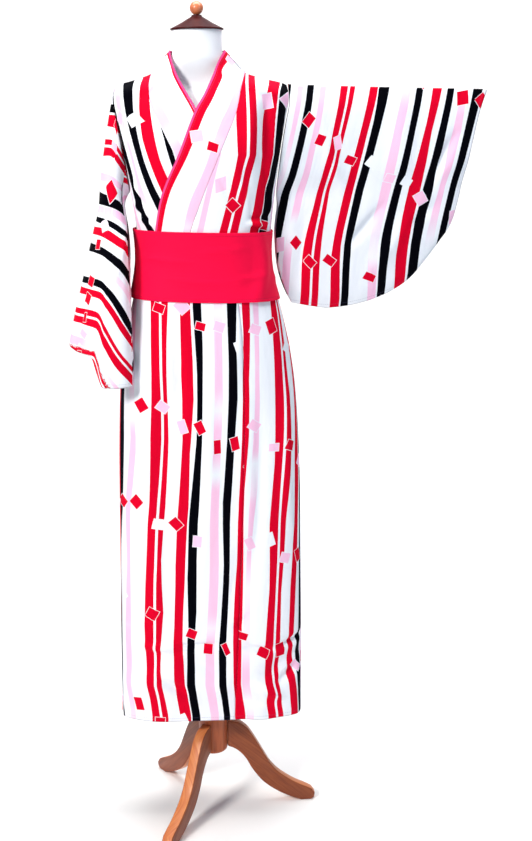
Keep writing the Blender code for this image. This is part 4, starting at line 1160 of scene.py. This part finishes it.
def back_collar_grid():
    """Stretch of the collar that stands round the back of the neck, from shoulder to shoulder."""
    angle, z = np.concatenate([back_neck_line(-1)[::-1], back_neck_line(1)[1:]]).T
    seam = body(angle, z) + np.array([0.0, 0.0, COLLAR_STAND])
    turn = np.linspace(math.pi, 0.0, len(seam))
    places = [(chart["edge_x"][0], chart["edge_z"][0]) for chart in (UNDER_COLLAR, OVER_COLLAR)]
    left, right = (body(angle_at(x, z), z) for x, z in places)
    edge = (left + right) / 2 + np.cos(turn)[:, None] * (right - left) / 2
    sin = np.sin(turn)
    edge = edge + np.stack([0 * turn, BACK_EDGE_DEPTH * sin, -BACK_EDGE_DROP * sin**2], axis=1)
    level = np.linspace(0.0, 1.0, COLLAR_ACROSS)[:, None, None]
    grid = trimmed(seam * (1 - level) + edge * level, ("first_row", "first_column", "last_column"))
    return grid.transpose(1, 0, 2)


def arm_angle(z):
    """Half the angle that an armhole spans at a height, and 0 below it."""
    share = np.clip((z - ARMHOLE_END_Z) / (SHOULDER_TIP_Z - ARMHOLE_END_Z), 0.0, 1.0)
    return ARMHOLE_ANGLE * np.sqrt(np.sin(math.pi * share) + 0 * z)


def side_line(side, facing):
    """Side seam and armhole edge of one panel of the top, upwards. facing is 1 in front and -1 behind."""
    z = np.linspace(TOP_END_Z, SHOULDER_TIP_Z, TOP_ROWS)
    angle = arm_angle(z)
    angle = angle if side > 0 else math.pi - angle
    return np.stack([facing * angle, z], axis=1)


def inner_line(side, facing):
    """Inner edge of one panel of the top, upwards: the collar's seam, and the centre seam of the backs."""
    if facing > 0:
        return collar_line(side, "seam")[::-1]
    neck = back_neck_line(side)
    z = np.linspace(TOP_END_Z, neck[0][1], TOP_ROWS - NECK_STATIONS + 1)
    return np.concatenate([np.stack([-angle_at(0 * z, z), z], axis=1), neck[1:]])


def skirt_grid(angle_of, shares, columns, lift, edges, hem):
    """Panel of the skirt between two upright lines, each at a share that angle_of turns into an angle."""
    grid = []
    for share in np.linspace(0.0, 1.0, SKIRT_ROWS):
        z = SKIRT_TOP_Z - (SKIRT_TOP_Z - hem) * (1 - share) ** SKIRT_CROWDING
        start, end = ((angle_of(line, z), z) for line in shares)
        grid.append(run(start, end, columns, lift))
    return trimmed(np.array(grid), edges)


def share_angle(share, z):
    """Angle on the skirt's front at a share of its half width, -1 at the left to 1, or two: hem and top."""
    share = np.interp(z, (HEM_Z, SKIRT_TOP_Z), np.broadcast_to(share, 2))
    return float(np.arccos(signed_power(share, sizes_at(BODY, "square", z)[0] / 2)))


def back_angle(share, z):
    """Angle on the skirt's back at a share of the half circle, -1 at the viewer's left to 1 at the right."""
    return (share - 1) * math.pi / 2 + 0 * z


def sash_grid():
    """Wide sash, wound once round from behind and lapped over its own start at the back."""
    stations = np.linspace(0.0, 1.0, SASH_STATIONS)
    angle = SASH_START - stations * SASH_TURN
    rise = SASH_LAP_LIFT * ease((SASH_RISE_START - angle) / SASH_RISE_TURN)
    grid = []
    for level in np.linspace(0.0, 1.0, SASH_ROWS):
        z = SASH_BOTTOM_Z + (SASH_TOP_Z - SASH_BOTTOM_Z) * level
        z = z - SASH_FALL * share_right(angle, z + 0 * angle)
        grid.append(body(angle, z, sash_lift(angle, z) + rise))
    return np.array(grid)


def sleeve_place(s, z):
    """Point of the held-out sleeve's own plane."""
    x, y = (start + s * way for start, way in zip(SLEEVE_START, SLEEVE_WAY))
    return np.stack([x, y, z + 0 * s], axis=-1)


def out_sleeve_grid(facing):
    """Wall of the held-out sleeve and the way that it faces. facing is 1 in front and -1 behind."""
    inner_low = through(OUT_INNER, OUT_ROWS // 2 + 1)
    root_z = np.linspace(ARMHOLE_END_Z, SHOULDER_TIP_Z, OUT_ROWS - len(inner_low))
    root = body(facing * arm_angle(root_z), root_z, CLOTH + ROOT_GAP)
    root_s = (root[:, 0] - SLEEVE_START[0]) / SLEEVE_WAY[0]
    inner = np.concatenate([inner_low, np.stack([root_s, root_z], axis=1)])
    cuff = through(OUT_CUFF, OUT_ROWS)
    flat = patch(inner, cuff, through(OUT_BOTTOM, OUT_COLUMNS), np.linspace(inner[-1], cuff[-1], OUT_COLUMNS))
    u = np.linspace(0.0, 1.0, OUT_COLUMNS)[None, :]
    v = np.linspace(0.0, 1.0, OUT_ROWS)[:, None]
    mouth = OUT_MOUTH * ease((flat[..., 1] - SLEEVE_CUFF_OPEN_Z) / OUT_OPENING) * np.sin(math.pi * v)
    hollow = OUT_HOLLOW * np.sin(math.pi * u) ** 0.5 * np.sin(math.pi * v) ** 0.5
    free = OUT_FREE_EDGE * np.sin(math.pi * v) ** 0.5 * (1 - u) ** 3
    half = SEAM_GAP / 2 + hollow + mouth * u**3 + free
    normal = np.array([SLEEVE_WAY[1], -SLEEVE_WAY[0], 0.0])
    grid = sleeve_place(flat[..., 0], flat[..., 1]) + facing * half[..., None] * normal
    pull = root + facing * normal * SEAM_GAP / 2 - grid[len(inner_low):, 0]
    grid[len(inner_low):] += pull[:, None] * ((1 - u) ** 4)[..., None]
    return grid, facing * normal


def hanging_section(at, z):
    """Point of the hanging sleeve's closed section, at a place from 0 to 1 round it and a height."""
    inner, outer, front, back, folded = (
        smooth(-HANG["z"], HANG[name], -z) for name in ("inner", "outer", "front", "back", "folded")
    )
    across, deep = (
        looped("plain_" + name, at) * (1 - folded) + looped(name, at) * folded for name in ("across", "deep")
    )
    y = front + (back - front) * deep
    inner = np.minimum(inner, beside_body(y, z))
    return np.stack([inner + (outer - inner) * across, y, z + 0 * y], axis=-1)


def looped(name, at):
    """Named column of the hanging sleeve's section, read at a place round it."""
    knots = np.arange(-3, LOOP_STATIONS + 4)
    return smooth(knots, LOOP[name][knots % LOOP_STATIONS], np.asarray(at) * LOOP_STATIONS)


def beside_body(y, z):
    """How far to the viewer's left the sash and the wrapped skirt reach at a depth, with room to spare."""
    wide, front, back, square = sizes_at(BODY, "half_width front back square", z)
    wide, front, back = (size + BESIDE_ROOM for size in (wide, front, back))
    share = np.clip(np.abs(y) / np.where(y < 0, front, back), 0.0, 1.0)
    return -wide * (1 - share**square) ** (1 / square)


def armhole_place(at):
    """Point of the left armhole's edge that a place round the hanging sleeve's section is sewn to."""
    if at <= ARMHOLE_HIGH or at > ARMHOLE_LOW:
        start = at - 1 if at > ARMHOLE_LOW else at
        share = (start - (ARMHOLE_LOW - 1)) / (ARMHOLE_HIGH - (ARMHOLE_LOW - 1))
        facing = 1
    else:
        share = 1 - (at - ARMHOLE_HIGH) / (ARMHOLE_LOW - ARMHOLE_HIGH)
        facing = -1
    z = ARMHOLE_END_Z + (SHOULDER_TIP_Z - ARMHOLE_END_Z) * share
    return body(facing * (math.pi - arm_angle(z)), z, CLOTH + ROOT_GAP)


def hanging_grid(start, end, columns):
    """Wall of the hanging sleeve between two places round its section, from the armhole down to the cuff."""
    places = np.linspace(start, end, columns)
    root = np.array([armhole_place(at) for at in places])
    neck_z = HANG["z"][0]
    first = hanging_section(places, np.full(columns, neck_z))
    grid = []
    for step in np.linspace(0.0, 1.0, HANG_NECK_ROWS + 1)[:-1]:
        row = root * (1 - step) + first * step
        row[:, 0] -= HANG_SHOULDER_BULGE * 4 * step * (1 - step)
        grid.append(row)
    for step in np.linspace(0.0, 1.0, HANG_ROWS):
        grid.append(hanging_section(places, neck_z + (looped("end_z", places) - neck_z) * step))
    return trimmed(np.array(grid), ("first_column", "last_column"), FOLDED_SEAM_GAP)


def printed_places(node, across, along):
    """Place of the print on a piece: its stripes lie where PRINT_AT has them and waver as no other's."""
    at, chart = PRINT_AT[node]
    way = 1.0 if chart[-1] > chart[0] else -1.0
    read = np.interp(across, at, chart)
    read = read + way * (np.minimum(across - at[0], 0.0) + np.maximum(across - at[-1], 0.0))
    return np.stack([read, along + SLIP[node]], axis=-1)


def cotton_of(settings):
    """Printed cotton of most pieces, made once."""
    found = bpy.data.materials.get("printed cotton")
    return found or print_material("printed cotton", settings, STRIPES)


def draw_top(settings):
    """Two fronts and two backs of the top."""
    for node, side, facing, lift, creases in (
        ("top_front_over", 1, 1, wrap_lift, TOP_RIGHT_CREASES),
        ("top_front_under", -1, 1, flat_lift, TOP_LEFT_CREASES),
        ("top_back_right", 1, -1, flat_lift, TOP_BACK_CREASES),
        ("top_back_left", -1, -1, flat_lift, TOP_BACK_CREASES),
    ):
        ends = zip(inner_line(side, facing), side_line(side, facing))
        coarse = np.stack([run(inner, outer, TOP_COLUMNS, lift) for inner, outer in ends])
        grid = fine(trimmed(coarse, ("last_row", "first_column", "last_column")), TOP_DRAWN)
        across, z = grid[:, :1, 0] + side * along_rows(grid), grid[..., 2]
        drop = SHOULDER_TIP_Z - z
        curving, steady, below = TOP_LEAN[node]
        shifted = across + curving * drop**2 + steady * np.maximum(drop - below, 0.0)
        lay_cloth(node, grid, np.stack([across, z], axis=-1), printed_places(node, shifted, z),
                  cotton_of(settings), creases=creases)


def draw_collar(settings):
    """Collar: down each front and round the back of the neck."""
    edged = print_material("printed cotton, collar", settings, COLLAR_STRIPES, True)
    under = print_material("printed cotton, under collar", settings, UNDER_COLLAR_STRIPES, True)
    for node, coarse, drawn, cotton in (
        ("collar_over", front_collar_grid(1, wrap_lift), FRONT_COLLAR_DRAWN, edged),
        ("collar_under", front_collar_grid(-1, flat_lift), FRONT_COLLAR_DRAWN, under),
        ("collar_back", back_collar_grid(), BACK_COLLAR_DRAWN, edged),
    ):
        grid = fine(coarse, drawn)
        across = along_rows(grid)
        place = np.stack([across[:, -1:] - across, along_columns(grid)[:, -1:] + 0 * across], axis=-1)
        lay_cloth(node, grid, place, place + (0.0, SLIP[node]), cotton, ("last_column",),
                  thick=COLLAR_THICK, soft=COLLAR_ROUND)


def draw_sleeves(settings):
    """Held-out sleeve, of two walls, and hanging sleeve, a folded tube in two walls."""
    for node, facing in (("sleeve_out_front", 1), ("sleeve_out_back", -1)):
        coarse, outward = out_sleeve_grid(facing)
        grid = fine(coarse, OUT_DRAWN)
        s = sum((grid[..., k] - SLEEVE_START[k]) * SLEEVE_WAY[k] for k in (0, 1))
        z = grid[..., 2]
        lean = OUT_LEAN * bent(z - OUT_LEAN_Z, OUT_LEAN_BEND)
        lay_cloth(node, grid, np.stack([s, z], axis=-1), printed_places(node, s - lean, z),
                  cotton_of(settings), ("last_column", "first_row"), OUT_CREASES,
                  outward)
    split = HANG_SPLIT / LOOP_STATIONS
    cotton = print_material("printed cotton, hanging sleeve", settings, STRIPES, chains=LEVEL_CHAINS)
    for node, start, end, columns, drawn in (
        ("sleeve_hanging_front", 0.0, split, HANG_FRONT_COLUMNS, HANG_FRONT_DRAWN),
        ("sleeve_hanging_back", split, 1.0, HANG_BACK_COLUMNS, HANG_BACK_DRAWN),
    ):
        grid = fine(hanging_grid(start, end, columns), drawn)
        round_it, z = along_rows(grid), grid[..., 2]
        if start == 0.0:
            inward = round_it[:, [round((drawn[1] - 1) * HANG_FOLD / split)]] - round_it
        else:
            inward = round_it + HANG_FOLD_REST
        outward = np.cross(np.gradient(grid, axis=0), np.gradient(grid, axis=1))
        printed = printed_places(node, z + hanging_slant(np.abs(inward), z), inward)
        lay_cloth(node, grid, np.stack([inward, z], axis=-1), printed, cotton,
                  ("last_row",), HANG_CREASES, outward)


def bent(way, reach):
    """Nothing before zero and the way itself after it, with a bend between that reaches so far each side."""
    return (way + np.sqrt(way * way + reach * reach)) / 2


def hanging_slant(inward, z):
    """How far the stripes of the hanging sleeve have dropped at a distance inward from its outer fold."""
    start, steep = (np.interp(z, HANG_SLANT["z"], HANG_SLANT[name]) for name in ("start", "steep"))
    near, far = HANG_BENDS
    return steep * (bent(inward - start, near) - 0.5 * bent(inward - start - HANG_STEEP_WIDTH, far))


def draw_skirt(settings):
    """Wrap skirt: two backs, the under front, and over it the over front with its edge panel."""
    cotton = cotton_of(settings)
    side_cotton = print_material("printed cotton, side panel", settings, SIDE_STRIPES)
    sewn = ("first_column", "last_column")
    under_hem = HEM_Z + UNDER_HEM_RISE
    panel = (EDGE_PANEL_SHARE, FREE_EDGE_SHARE)
    for node, angle_of, shares, columns, lift, edges, hem, drawn in (
        ("skirt_back_right", back_angle, (0.0, 1.0), BACK_COLUMNS, flat_lift, sewn, HEM_Z, 44),
        ("skirt_back_left", back_angle, (-1.0, 0.0), BACK_COLUMNS, flat_lift, sewn, HEM_Z, 44),
        ("skirt_front_under", share_angle, (UNDER_END_SHARE, -1.0), UNDER_COLUMNS, flat_lift, sewn[1:],
         under_hem, 52),
        ("skirt_edge_panel", share_angle, panel, EDGE_COLUMNS, wrap_lift, sewn[:1], HEM_Z, 48),
        ("skirt_front_over", share_angle, (1.0, EDGE_PANEL_SHARE), OVER_COLUMNS, wrap_lift, sewn, HEM_Z, 36),
    ):
        coarse = skirt_grid(angle_of, shares, columns, lift, edges, hem)
        grid = fine(coarse, (SKIRT_ROWS_DRAWN, drawn))
        across, z = along_rows(grid), grid[..., 2]
        if node == "skirt_back_left":
            across = across - across[:, -1:]
        elif node == "skirt_front_over":
            across = over_centre + across[:, -1:] - across
        elif angle_of is share_angle:
            over_centre = np.array([[np.interp(0.0, -x, a)] for x, a in zip(grid[..., 0], across)])
            across = over_centre - across
        drift = np.interp(z, *SKIRT_DRIFT)
        lay_cloth(node, grid, np.stack([across, z], axis=-1), printed_places(node, across - drift, z),
                  side_cotton if node == "skirt_front_over" else cotton,
                  ("first_row", "last_column") if node == "skirt_edge_panel" else ("first_row",),
                  SKIRT_CREASES if angle_of is share_angle else SKIRT_BACK_CREASES)


def draw_sash(settings):
    """Plain wide sash."""
    grid = fine(sash_grid(), SASH_DRAWN)
    place = np.stack([along_rows(grid), grid[..., 2]], axis=-1)
    lay_cloth("sash", grid, place, place, sash_material(settings),
              ("first_row", "last_row"), SASH_CREASES, thick=SASH_THICK, soft=SASH_ROUND)


def closing(ring):
    """Centre of a ring and a ring half as large, which close it."""
    centre = ring.mean(axis=0)
    return [centre + (ring - centre) * share for share in (0.0, 0.5)]


def draw_form(settings):
    """Limbless torso with a neck, closed at its base and at the top of its neck."""
    turns = np.linspace(0.0, 2 * math.pi, FORM_TURNS)
    rise = np.linspace(FORM["z"][0], FORM["z"][-1], FORM_RINGS)
    rings = [section(FORM, turns, np.full(FORM_TURNS, z)) for z in rise]
    mesh = grid_mesh(np.array([*closing(rings[0]), *rings, *closing(rings[-1])[::-1]]))
    bmesh.ops.remove_doubles(mesh, verts=mesh.verts[:], dist=1e-5)
    bmesh.ops.recalc_face_normals(mesh, faces=mesh.faces[:])
    show("form_cover", mesh, cover_material(settings), "form", 50.0)


def spun(name, profile, steps, material, node, x=0.0, z=0.0):
    """Turned piece from a profile of radius and height that runs from its top down its outside."""
    mesh = bmesh.new()
    verts = [mesh.verts.new((radius, 0.0, height)) for radius, height in profile]
    edges = [mesh.edges.new(pair) for pair in zip(verts, verts[1:])]
    bmesh.ops.spin(mesh, geom=verts + edges, cent=(0, 0, 0), axis=(0, 0, 1), dvec=(0, 0, 0),
                   angle=2 * math.pi, steps=steps, use_merge=True, use_duplicate=False)
    bmesh.ops.remove_doubles(mesh, verts=mesh.verts[:], dist=1e-6)
    bmesh.ops.recalc_face_normals(mesh, faces=mesh.faces[:])
    bmesh.ops.translate(mesh, verts=mesh.verts[:], vec=(POST_X + x, POST_Y, z))
    show(name, mesh, material, node, 40.0)


def shaded(colour, *shares):
    """A colour with its red, green and blue taken down or up, by one share or by one for each."""
    return tuple(min(part * share, 1.0) for part, share in zip(colour, shares * (3 // len(shares))))


def draw_cap(settings):
    """Turned wooden cap on the neck, and the ball on it."""
    cap_wood = wood_material("dark stained wood", tuple(settings.cap), shaded(settings.cap, 0.45),
                             (60.0, 60.0, 25.0), 0.03, 0.10)
    spun("neck_cap_wood", CAP_PROFILE, CAP_TURNS, cap_wood, "neck_cap", CAP_X, CAP_RIM_Z)
    ball_wood = wood_material("orange varnished wood", tuple(settings.ball), shaded(settings.ball, 0.6),
                              (90.0, 90.0, 40.0), 0.8)
    foot = -math.sqrt(BALL_RADIUS**2 - BALL_SPIGOT_RADIUS**2)
    turns = np.linspace(math.pi / 2, math.atan2(foot, BALL_SPIGOT_RADIUS), 24)[1:]
    arc = [(BALL_RADIUS * math.cos(turn), BALL_RADIUS * math.sin(turn)) for turn in turns]
    arc = [(0.0, BALL_RADIUS), *arc, (0.0, foot)]
    spun("cap_ball_wood", arc, BALL_TURNS, ball_wood, "cap_ball", CAP_X,
         CAP_RIM_Z + CAP_PROFILE[0][1] + SEAM_GAP - foot)


def verts_of(geometry):
    """The vertices among what a bmesh operator made."""
    return [part for part in geometry if isinstance(part, bmesh.types.BMVert)]


def draw_stand(settings):
    """Round post and three legs, each cut from a board to an S curve with softened edges."""
    light, dark = tuple(settings.wood), shaded(settings.wood, 0.50, 0.38, 0.40)
    post_wood = wood_material("varnished wood, post", light, dark, (90.0, 90.0, 6.0), 0.06, 0.3)
    profile = [(radius, FORM_BASE_Z - SEAM_GAP) for radius in (0.0, POST_RADIUS)]
    profile += [(POST_RADIUS, height) for height in POST_RINGS]
    profile += [(POST_RADIUS - inward, POST_BOTTOM_Z + up) for inward, up in POST_FOOT]
    profile.append((0.0, POST_BOTTOM_Z))
    spun("post_wood", profile, POST_TURNS, post_wood, "post")
    # Painted light and shade: the broad faces get a darker copy of the wood as painted shade, the narrow edge
    # faces a much lighter copy as painted light.
    shaded_side_wood, lit_edge_wood = (
        wood_material("varnished wood, " + name, *tones, (9.0, 260.0, 130.0), 0.06, 0.3, "grain")
        for name, tones in (("legs", (shaded(light, 0.62), shaded(dark, 0.62))),
                            ("lit leg edges", (shaded(light, 1.35, 1.95, 2.1), light)))
    )
    outline = [*through(LEG_TOP, LEG_TOP_DRAWN), *LEG_TIP, *LEG_BELOW[:2]]
    outline += [*through(LEG_BELOW[1:], LEG_BELOW_DRAWN)[1:]]
    for index in range(LEG_COUNT):
        mesh = bmesh.new()
        side = mesh.faces.new([mesh.verts.new((out, -LEG_THICKNESS / 2, height)) for out, height in outline])
        extruded = bmesh.ops.extrude_face_region(mesh, geom=[side])["geom"]
        bmesh.ops.translate(mesh, verts=verts_of(extruded), vec=(0.0, LEG_THICKNESS, 0.0))
        bmesh.ops.recalc_face_normals(mesh, faces=mesh.faces[:])
        rims = [e for e in mesh.edges if abs(e.verts[0].co.y - e.verts[1].co.y) < 1e-6]
        bmesh.ops.bevel(mesh, geom=rims, offset=LEG_EDGE_ROUND, segments=3, profile=0.5, affect="EDGES",
                        material=-1)
        layer = mesh.loops.layers.uv.new("grain")
        mesh.normal_update()
        for face in mesh.faces:
            # Painted light by face direction: the narrow edges take the lighter, lit copy, the broad faces the
            # darker, shaded one.
            face.material_index = 0 if abs(face.normal.y) > 0.5 else 1
            for loop in face.loops:
                x, y, z = loop.vert.co
                along, across = GRAIN_WAY
                loop[layer].uv = (x * along - z * across, x * across + z * along + y * GRAIN_DEPTH)
        turn = Matrix.Rotation(LEG_TURN + 2 * math.pi * index / LEG_COUNT, 4, "Z")
        turn = Matrix.Translation((POST_X, POST_Y, 0.0)) @ turn
        bmesh.ops.transform(mesh, matrix=turn, verts=mesh.verts[:])
        node = f"leg_{index + 1}"
        made = show(node + "_wood", mesh, shaded_side_wood, node, 40.0)
        made.data.materials.append(lit_edge_wood)


def draw_stage():
    """Pale floor that turns up into a backdrop, soft studio light, and the camera at the photo's angle."""
    mesh = bmesh.new()
    bmesh.ops.create_grid(mesh, x_segments=1, y_segments=1, size=PAPER_REACH)
    back = [e for e in mesh.edges if all(v.co.y > 0.0 for v in e.verts)]
    raised = bmesh.ops.extrude_edge_only(mesh, edges=back)["geom"]
    bmesh.ops.translate(mesh, verts=verts_of(raised), vec=(0.0, 0.0, PAPER_REACH))
    bmesh.ops.bevel(mesh, geom=back, offset=PAPER_BEND, segments=16, profile=0.5, affect="EDGES", material=-1)
    bmesh.ops.recalc_face_normals(mesh, faces=mesh.faces[:])
    placed("studio_paper", mesh, paper_material())
    scene = bpy.context.scene
    for name, (place, aim, size, energy, colour) in LIGHTS.items():
        lamp = bpy.data.lights.new(name, "AREA")
        lamp.size = size
        lamp.energy = energy
        lamp.color = colour
        light = bpy.data.objects.new(name, lamp)
        light.location = place
        light.rotation_euler = (Vector(aim) - Vector(place)).to_track_quat("-Z", "Y").to_euler()
        scene.collection.objects.link(light)
    world = bpy.data.worlds.new("studio")
    world.use_nodes = True
    glow = world.node_tree.nodes["Background"]
    glow.inputs["Color"].default_value = WORLD_COLOUR
    glow.inputs["Strength"].default_value = WORLD_STRENGTH
    scene.world = world
    scene.view_settings.view_transform = "Standard"
    scene.camera = new_camera()


def new_camera():
    """Camera as the photograph was taken: a little above the shoulders, looking down, hardly turned."""
    tilt = math.atan(HORIZON_PIXELS / FOCAL_PIXELS)
    forward = np.array([0.0, math.cos(tilt), -math.sin(tilt)])
    right = np.array([1.0, 0.0, 0.0])
    up = np.cross(right, forward)
    across = math.cos(CAMERA_ROLL) * right - math.sin(CAMERA_ROLL) * up
    upward = math.sin(CAMERA_ROLL) * right + math.cos(CAMERA_ROLL) * up
    data = bpy.data.cameras.new("camera")
    data.sensor_fit = "VERTICAL"
    data.sensor_height = SENSOR
    data.lens = SENSOR * FOCAL_PIXELS / PHOTO_PIXELS
    camera = bpy.data.objects.new("camera", data)
    turn = Matrix([(across[k], upward[k], -forward[k]) for k in range(3)])
    camera.matrix_world = Matrix.Translation(CAMERA_PLACE) @ turn.to_4x4()
    bpy.context.scene.collection.objects.link(camera)
    return camera


def colour_setting(name, description, code):
    """Colour that a user may change, from its sRGB hex code."""
    return FloatVectorProperty(name=name, description=description, subtype="COLOR", size=3, min=0.0, max=1.0,
                               default=linear(code))


class KimonoSettings(bpy.types.PropertyGroup):
    """Colours and sizes that a user would change."""

    ground: colour_setting("Cloth", "Ground of the printed cotton", "F2F3F8")
    red: colour_setting("Red stripes", "Red of the printed stripes", "DC0028")
    black: colour_setting("Black stripes", "Black of the printed stripes", "000006")
    pink: colour_setting("Pink stripes", "Pink of the printed stripes", "FBC6E2")
    piping: colour_setting("Collar edge", "Line along the collar's free edge", "F04688")
    sash: colour_setting("Sash", "Colour of the sash", "FA0040")
    cover: colour_setting("Form cover", "Jersey of the dress form", "F9FAFD")
    cap: colour_setting("Cap", "Stained wood of the neck cap", "480C0C")
    ball: colour_setting("Ball", "Varnished wood of the ball", "EB8250")
    wood: colour_setting("Stand", "Varnished wood of the legs and post", "C2673A")
    square_spacing: FloatProperty(name="Square spacing", description="Distance between the scattered squares",
                                  subtype="DISTANCE", unit="LENGTH", min=0.01, max=0.2, default=0.043)
    weave_size: FloatProperty(name="Weave size", description="Distance between two threads as drawn",
                              subtype="DISTANCE", unit="LENGTH", min=0.0003, max=0.01, default=0.0016)
    crease_depth: FloatProperty(name="Crease depth", description="Share of the depth that the tables give",
                                subtype="FACTOR", min=0.0, max=1.5, default=1.0)


class KIMONO_OT_form(bpy.types.Operator):
    """Draw the covered dress form"""
    bl_idname = "kimono.form"
    bl_label = "Dress form"

    def execute(self, context):
        draw_form(context.scene.kimono)
        return {"FINISHED"}


class KIMONO_OT_cap(bpy.types.Operator):
    """Draw the turned cap on the neck and its ball"""
    bl_idname = "kimono.cap"
    bl_label = "Neck cap and ball"

    def execute(self, context):
        draw_cap(context.scene.kimono)
        return {"FINISHED"}


class KIMONO_OT_stand(bpy.types.Operator):
    """Draw the post and its three legs"""
    bl_idname = "kimono.stand"
    bl_label = "Post and legs"

    def execute(self, context):
        draw_stand(context.scene.kimono)
        return {"FINISHED"}


class KIMONO_OT_skirt(bpy.types.Operator):
    """Draw the wrap skirt"""
    bl_idname = "kimono.skirt"
    bl_label = "Wrap skirt"

    def execute(self, context):
        draw_skirt(context.scene.kimono)
        return {"FINISHED"}


class KIMONO_OT_top(bpy.types.Operator):
    """Draw the fronts and backs of the top"""
    bl_idname = "kimono.top"
    bl_label = "Top"

    def execute(self, context):
        draw_top(context.scene.kimono)
        return {"FINISHED"}


class KIMONO_OT_collar(bpy.types.Operator):
    """Draw the collar"""
    bl_idname = "kimono.collar"
    bl_label = "Collar"

    def execute(self, context):
        draw_collar(context.scene.kimono)
        return {"FINISHED"}


class KIMONO_OT_sleeves(bpy.types.Operator):
    """Draw the held-out sleeve and the hanging sleeve"""
    bl_idname = "kimono.sleeves"
    bl_label = "Sleeves"

    def execute(self, context):
        draw_sleeves(context.scene.kimono)
        return {"FINISHED"}


class KIMONO_OT_sash(bpy.types.Operator):
    """Draw the sash"""
    bl_idname = "kimono.sash"
    bl_label = "Sash"

    def execute(self, context):
        draw_sash(context.scene.kimono)
        return {"FINISHED"}


class KIMONO_OT_stage(bpy.types.Operator):
    """Set up the floor, the backdrop, the light and the camera"""
    bl_idname = "kimono.stage"
    bl_label = "Stage"

    def execute(self, context):
        draw_stage()
        return {"FINISHED"}


OPERATORS = (KIMONO_OT_form, KIMONO_OT_cap, KIMONO_OT_stand, KIMONO_OT_skirt, KIMONO_OT_top, KIMONO_OT_collar,
             KIMONO_OT_sleeves, KIMONO_OT_sash, KIMONO_OT_stage)


class KIMONO_PT_panel(bpy.types.Panel):
    """Kimono in the 3D view's sidebar"""
    bl_label = "Kimono"
    bl_idname = "KIMONO_PT_panel"
    bl_space_type = "VIEW_3D"
    bl_region_type = "UI"
    bl_category = "Kimono"

    def draw(self, context):
        for name in KimonoSettings.__annotations__:
            self.layout.prop(context.scene.kimono, name)
        for operator in OPERATORS:
            self.layout.operator(operator.bl_idname)


CLASSES = (KimonoSettings, *OPERATORS, KIMONO_PT_panel)


def register():
    for kind in CLASSES:
        bpy.utils.register_class(kind)
    bpy.types.Scene.kimono = PointerProperty(type=KimonoSettings)


def unregister():
    del bpy.types.Scene.kimono
    for kind in reversed(CLASSES):
        bpy.utils.unregister_class(kind)


def main():
    """Draw every piece and the stage."""
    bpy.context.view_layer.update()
    register()
    for operator in OPERATORS:
        group, name = operator.bl_idname.split(".")
        getattr(getattr(bpy.ops, group), name)()


if __name__ == "__main__":
    main()
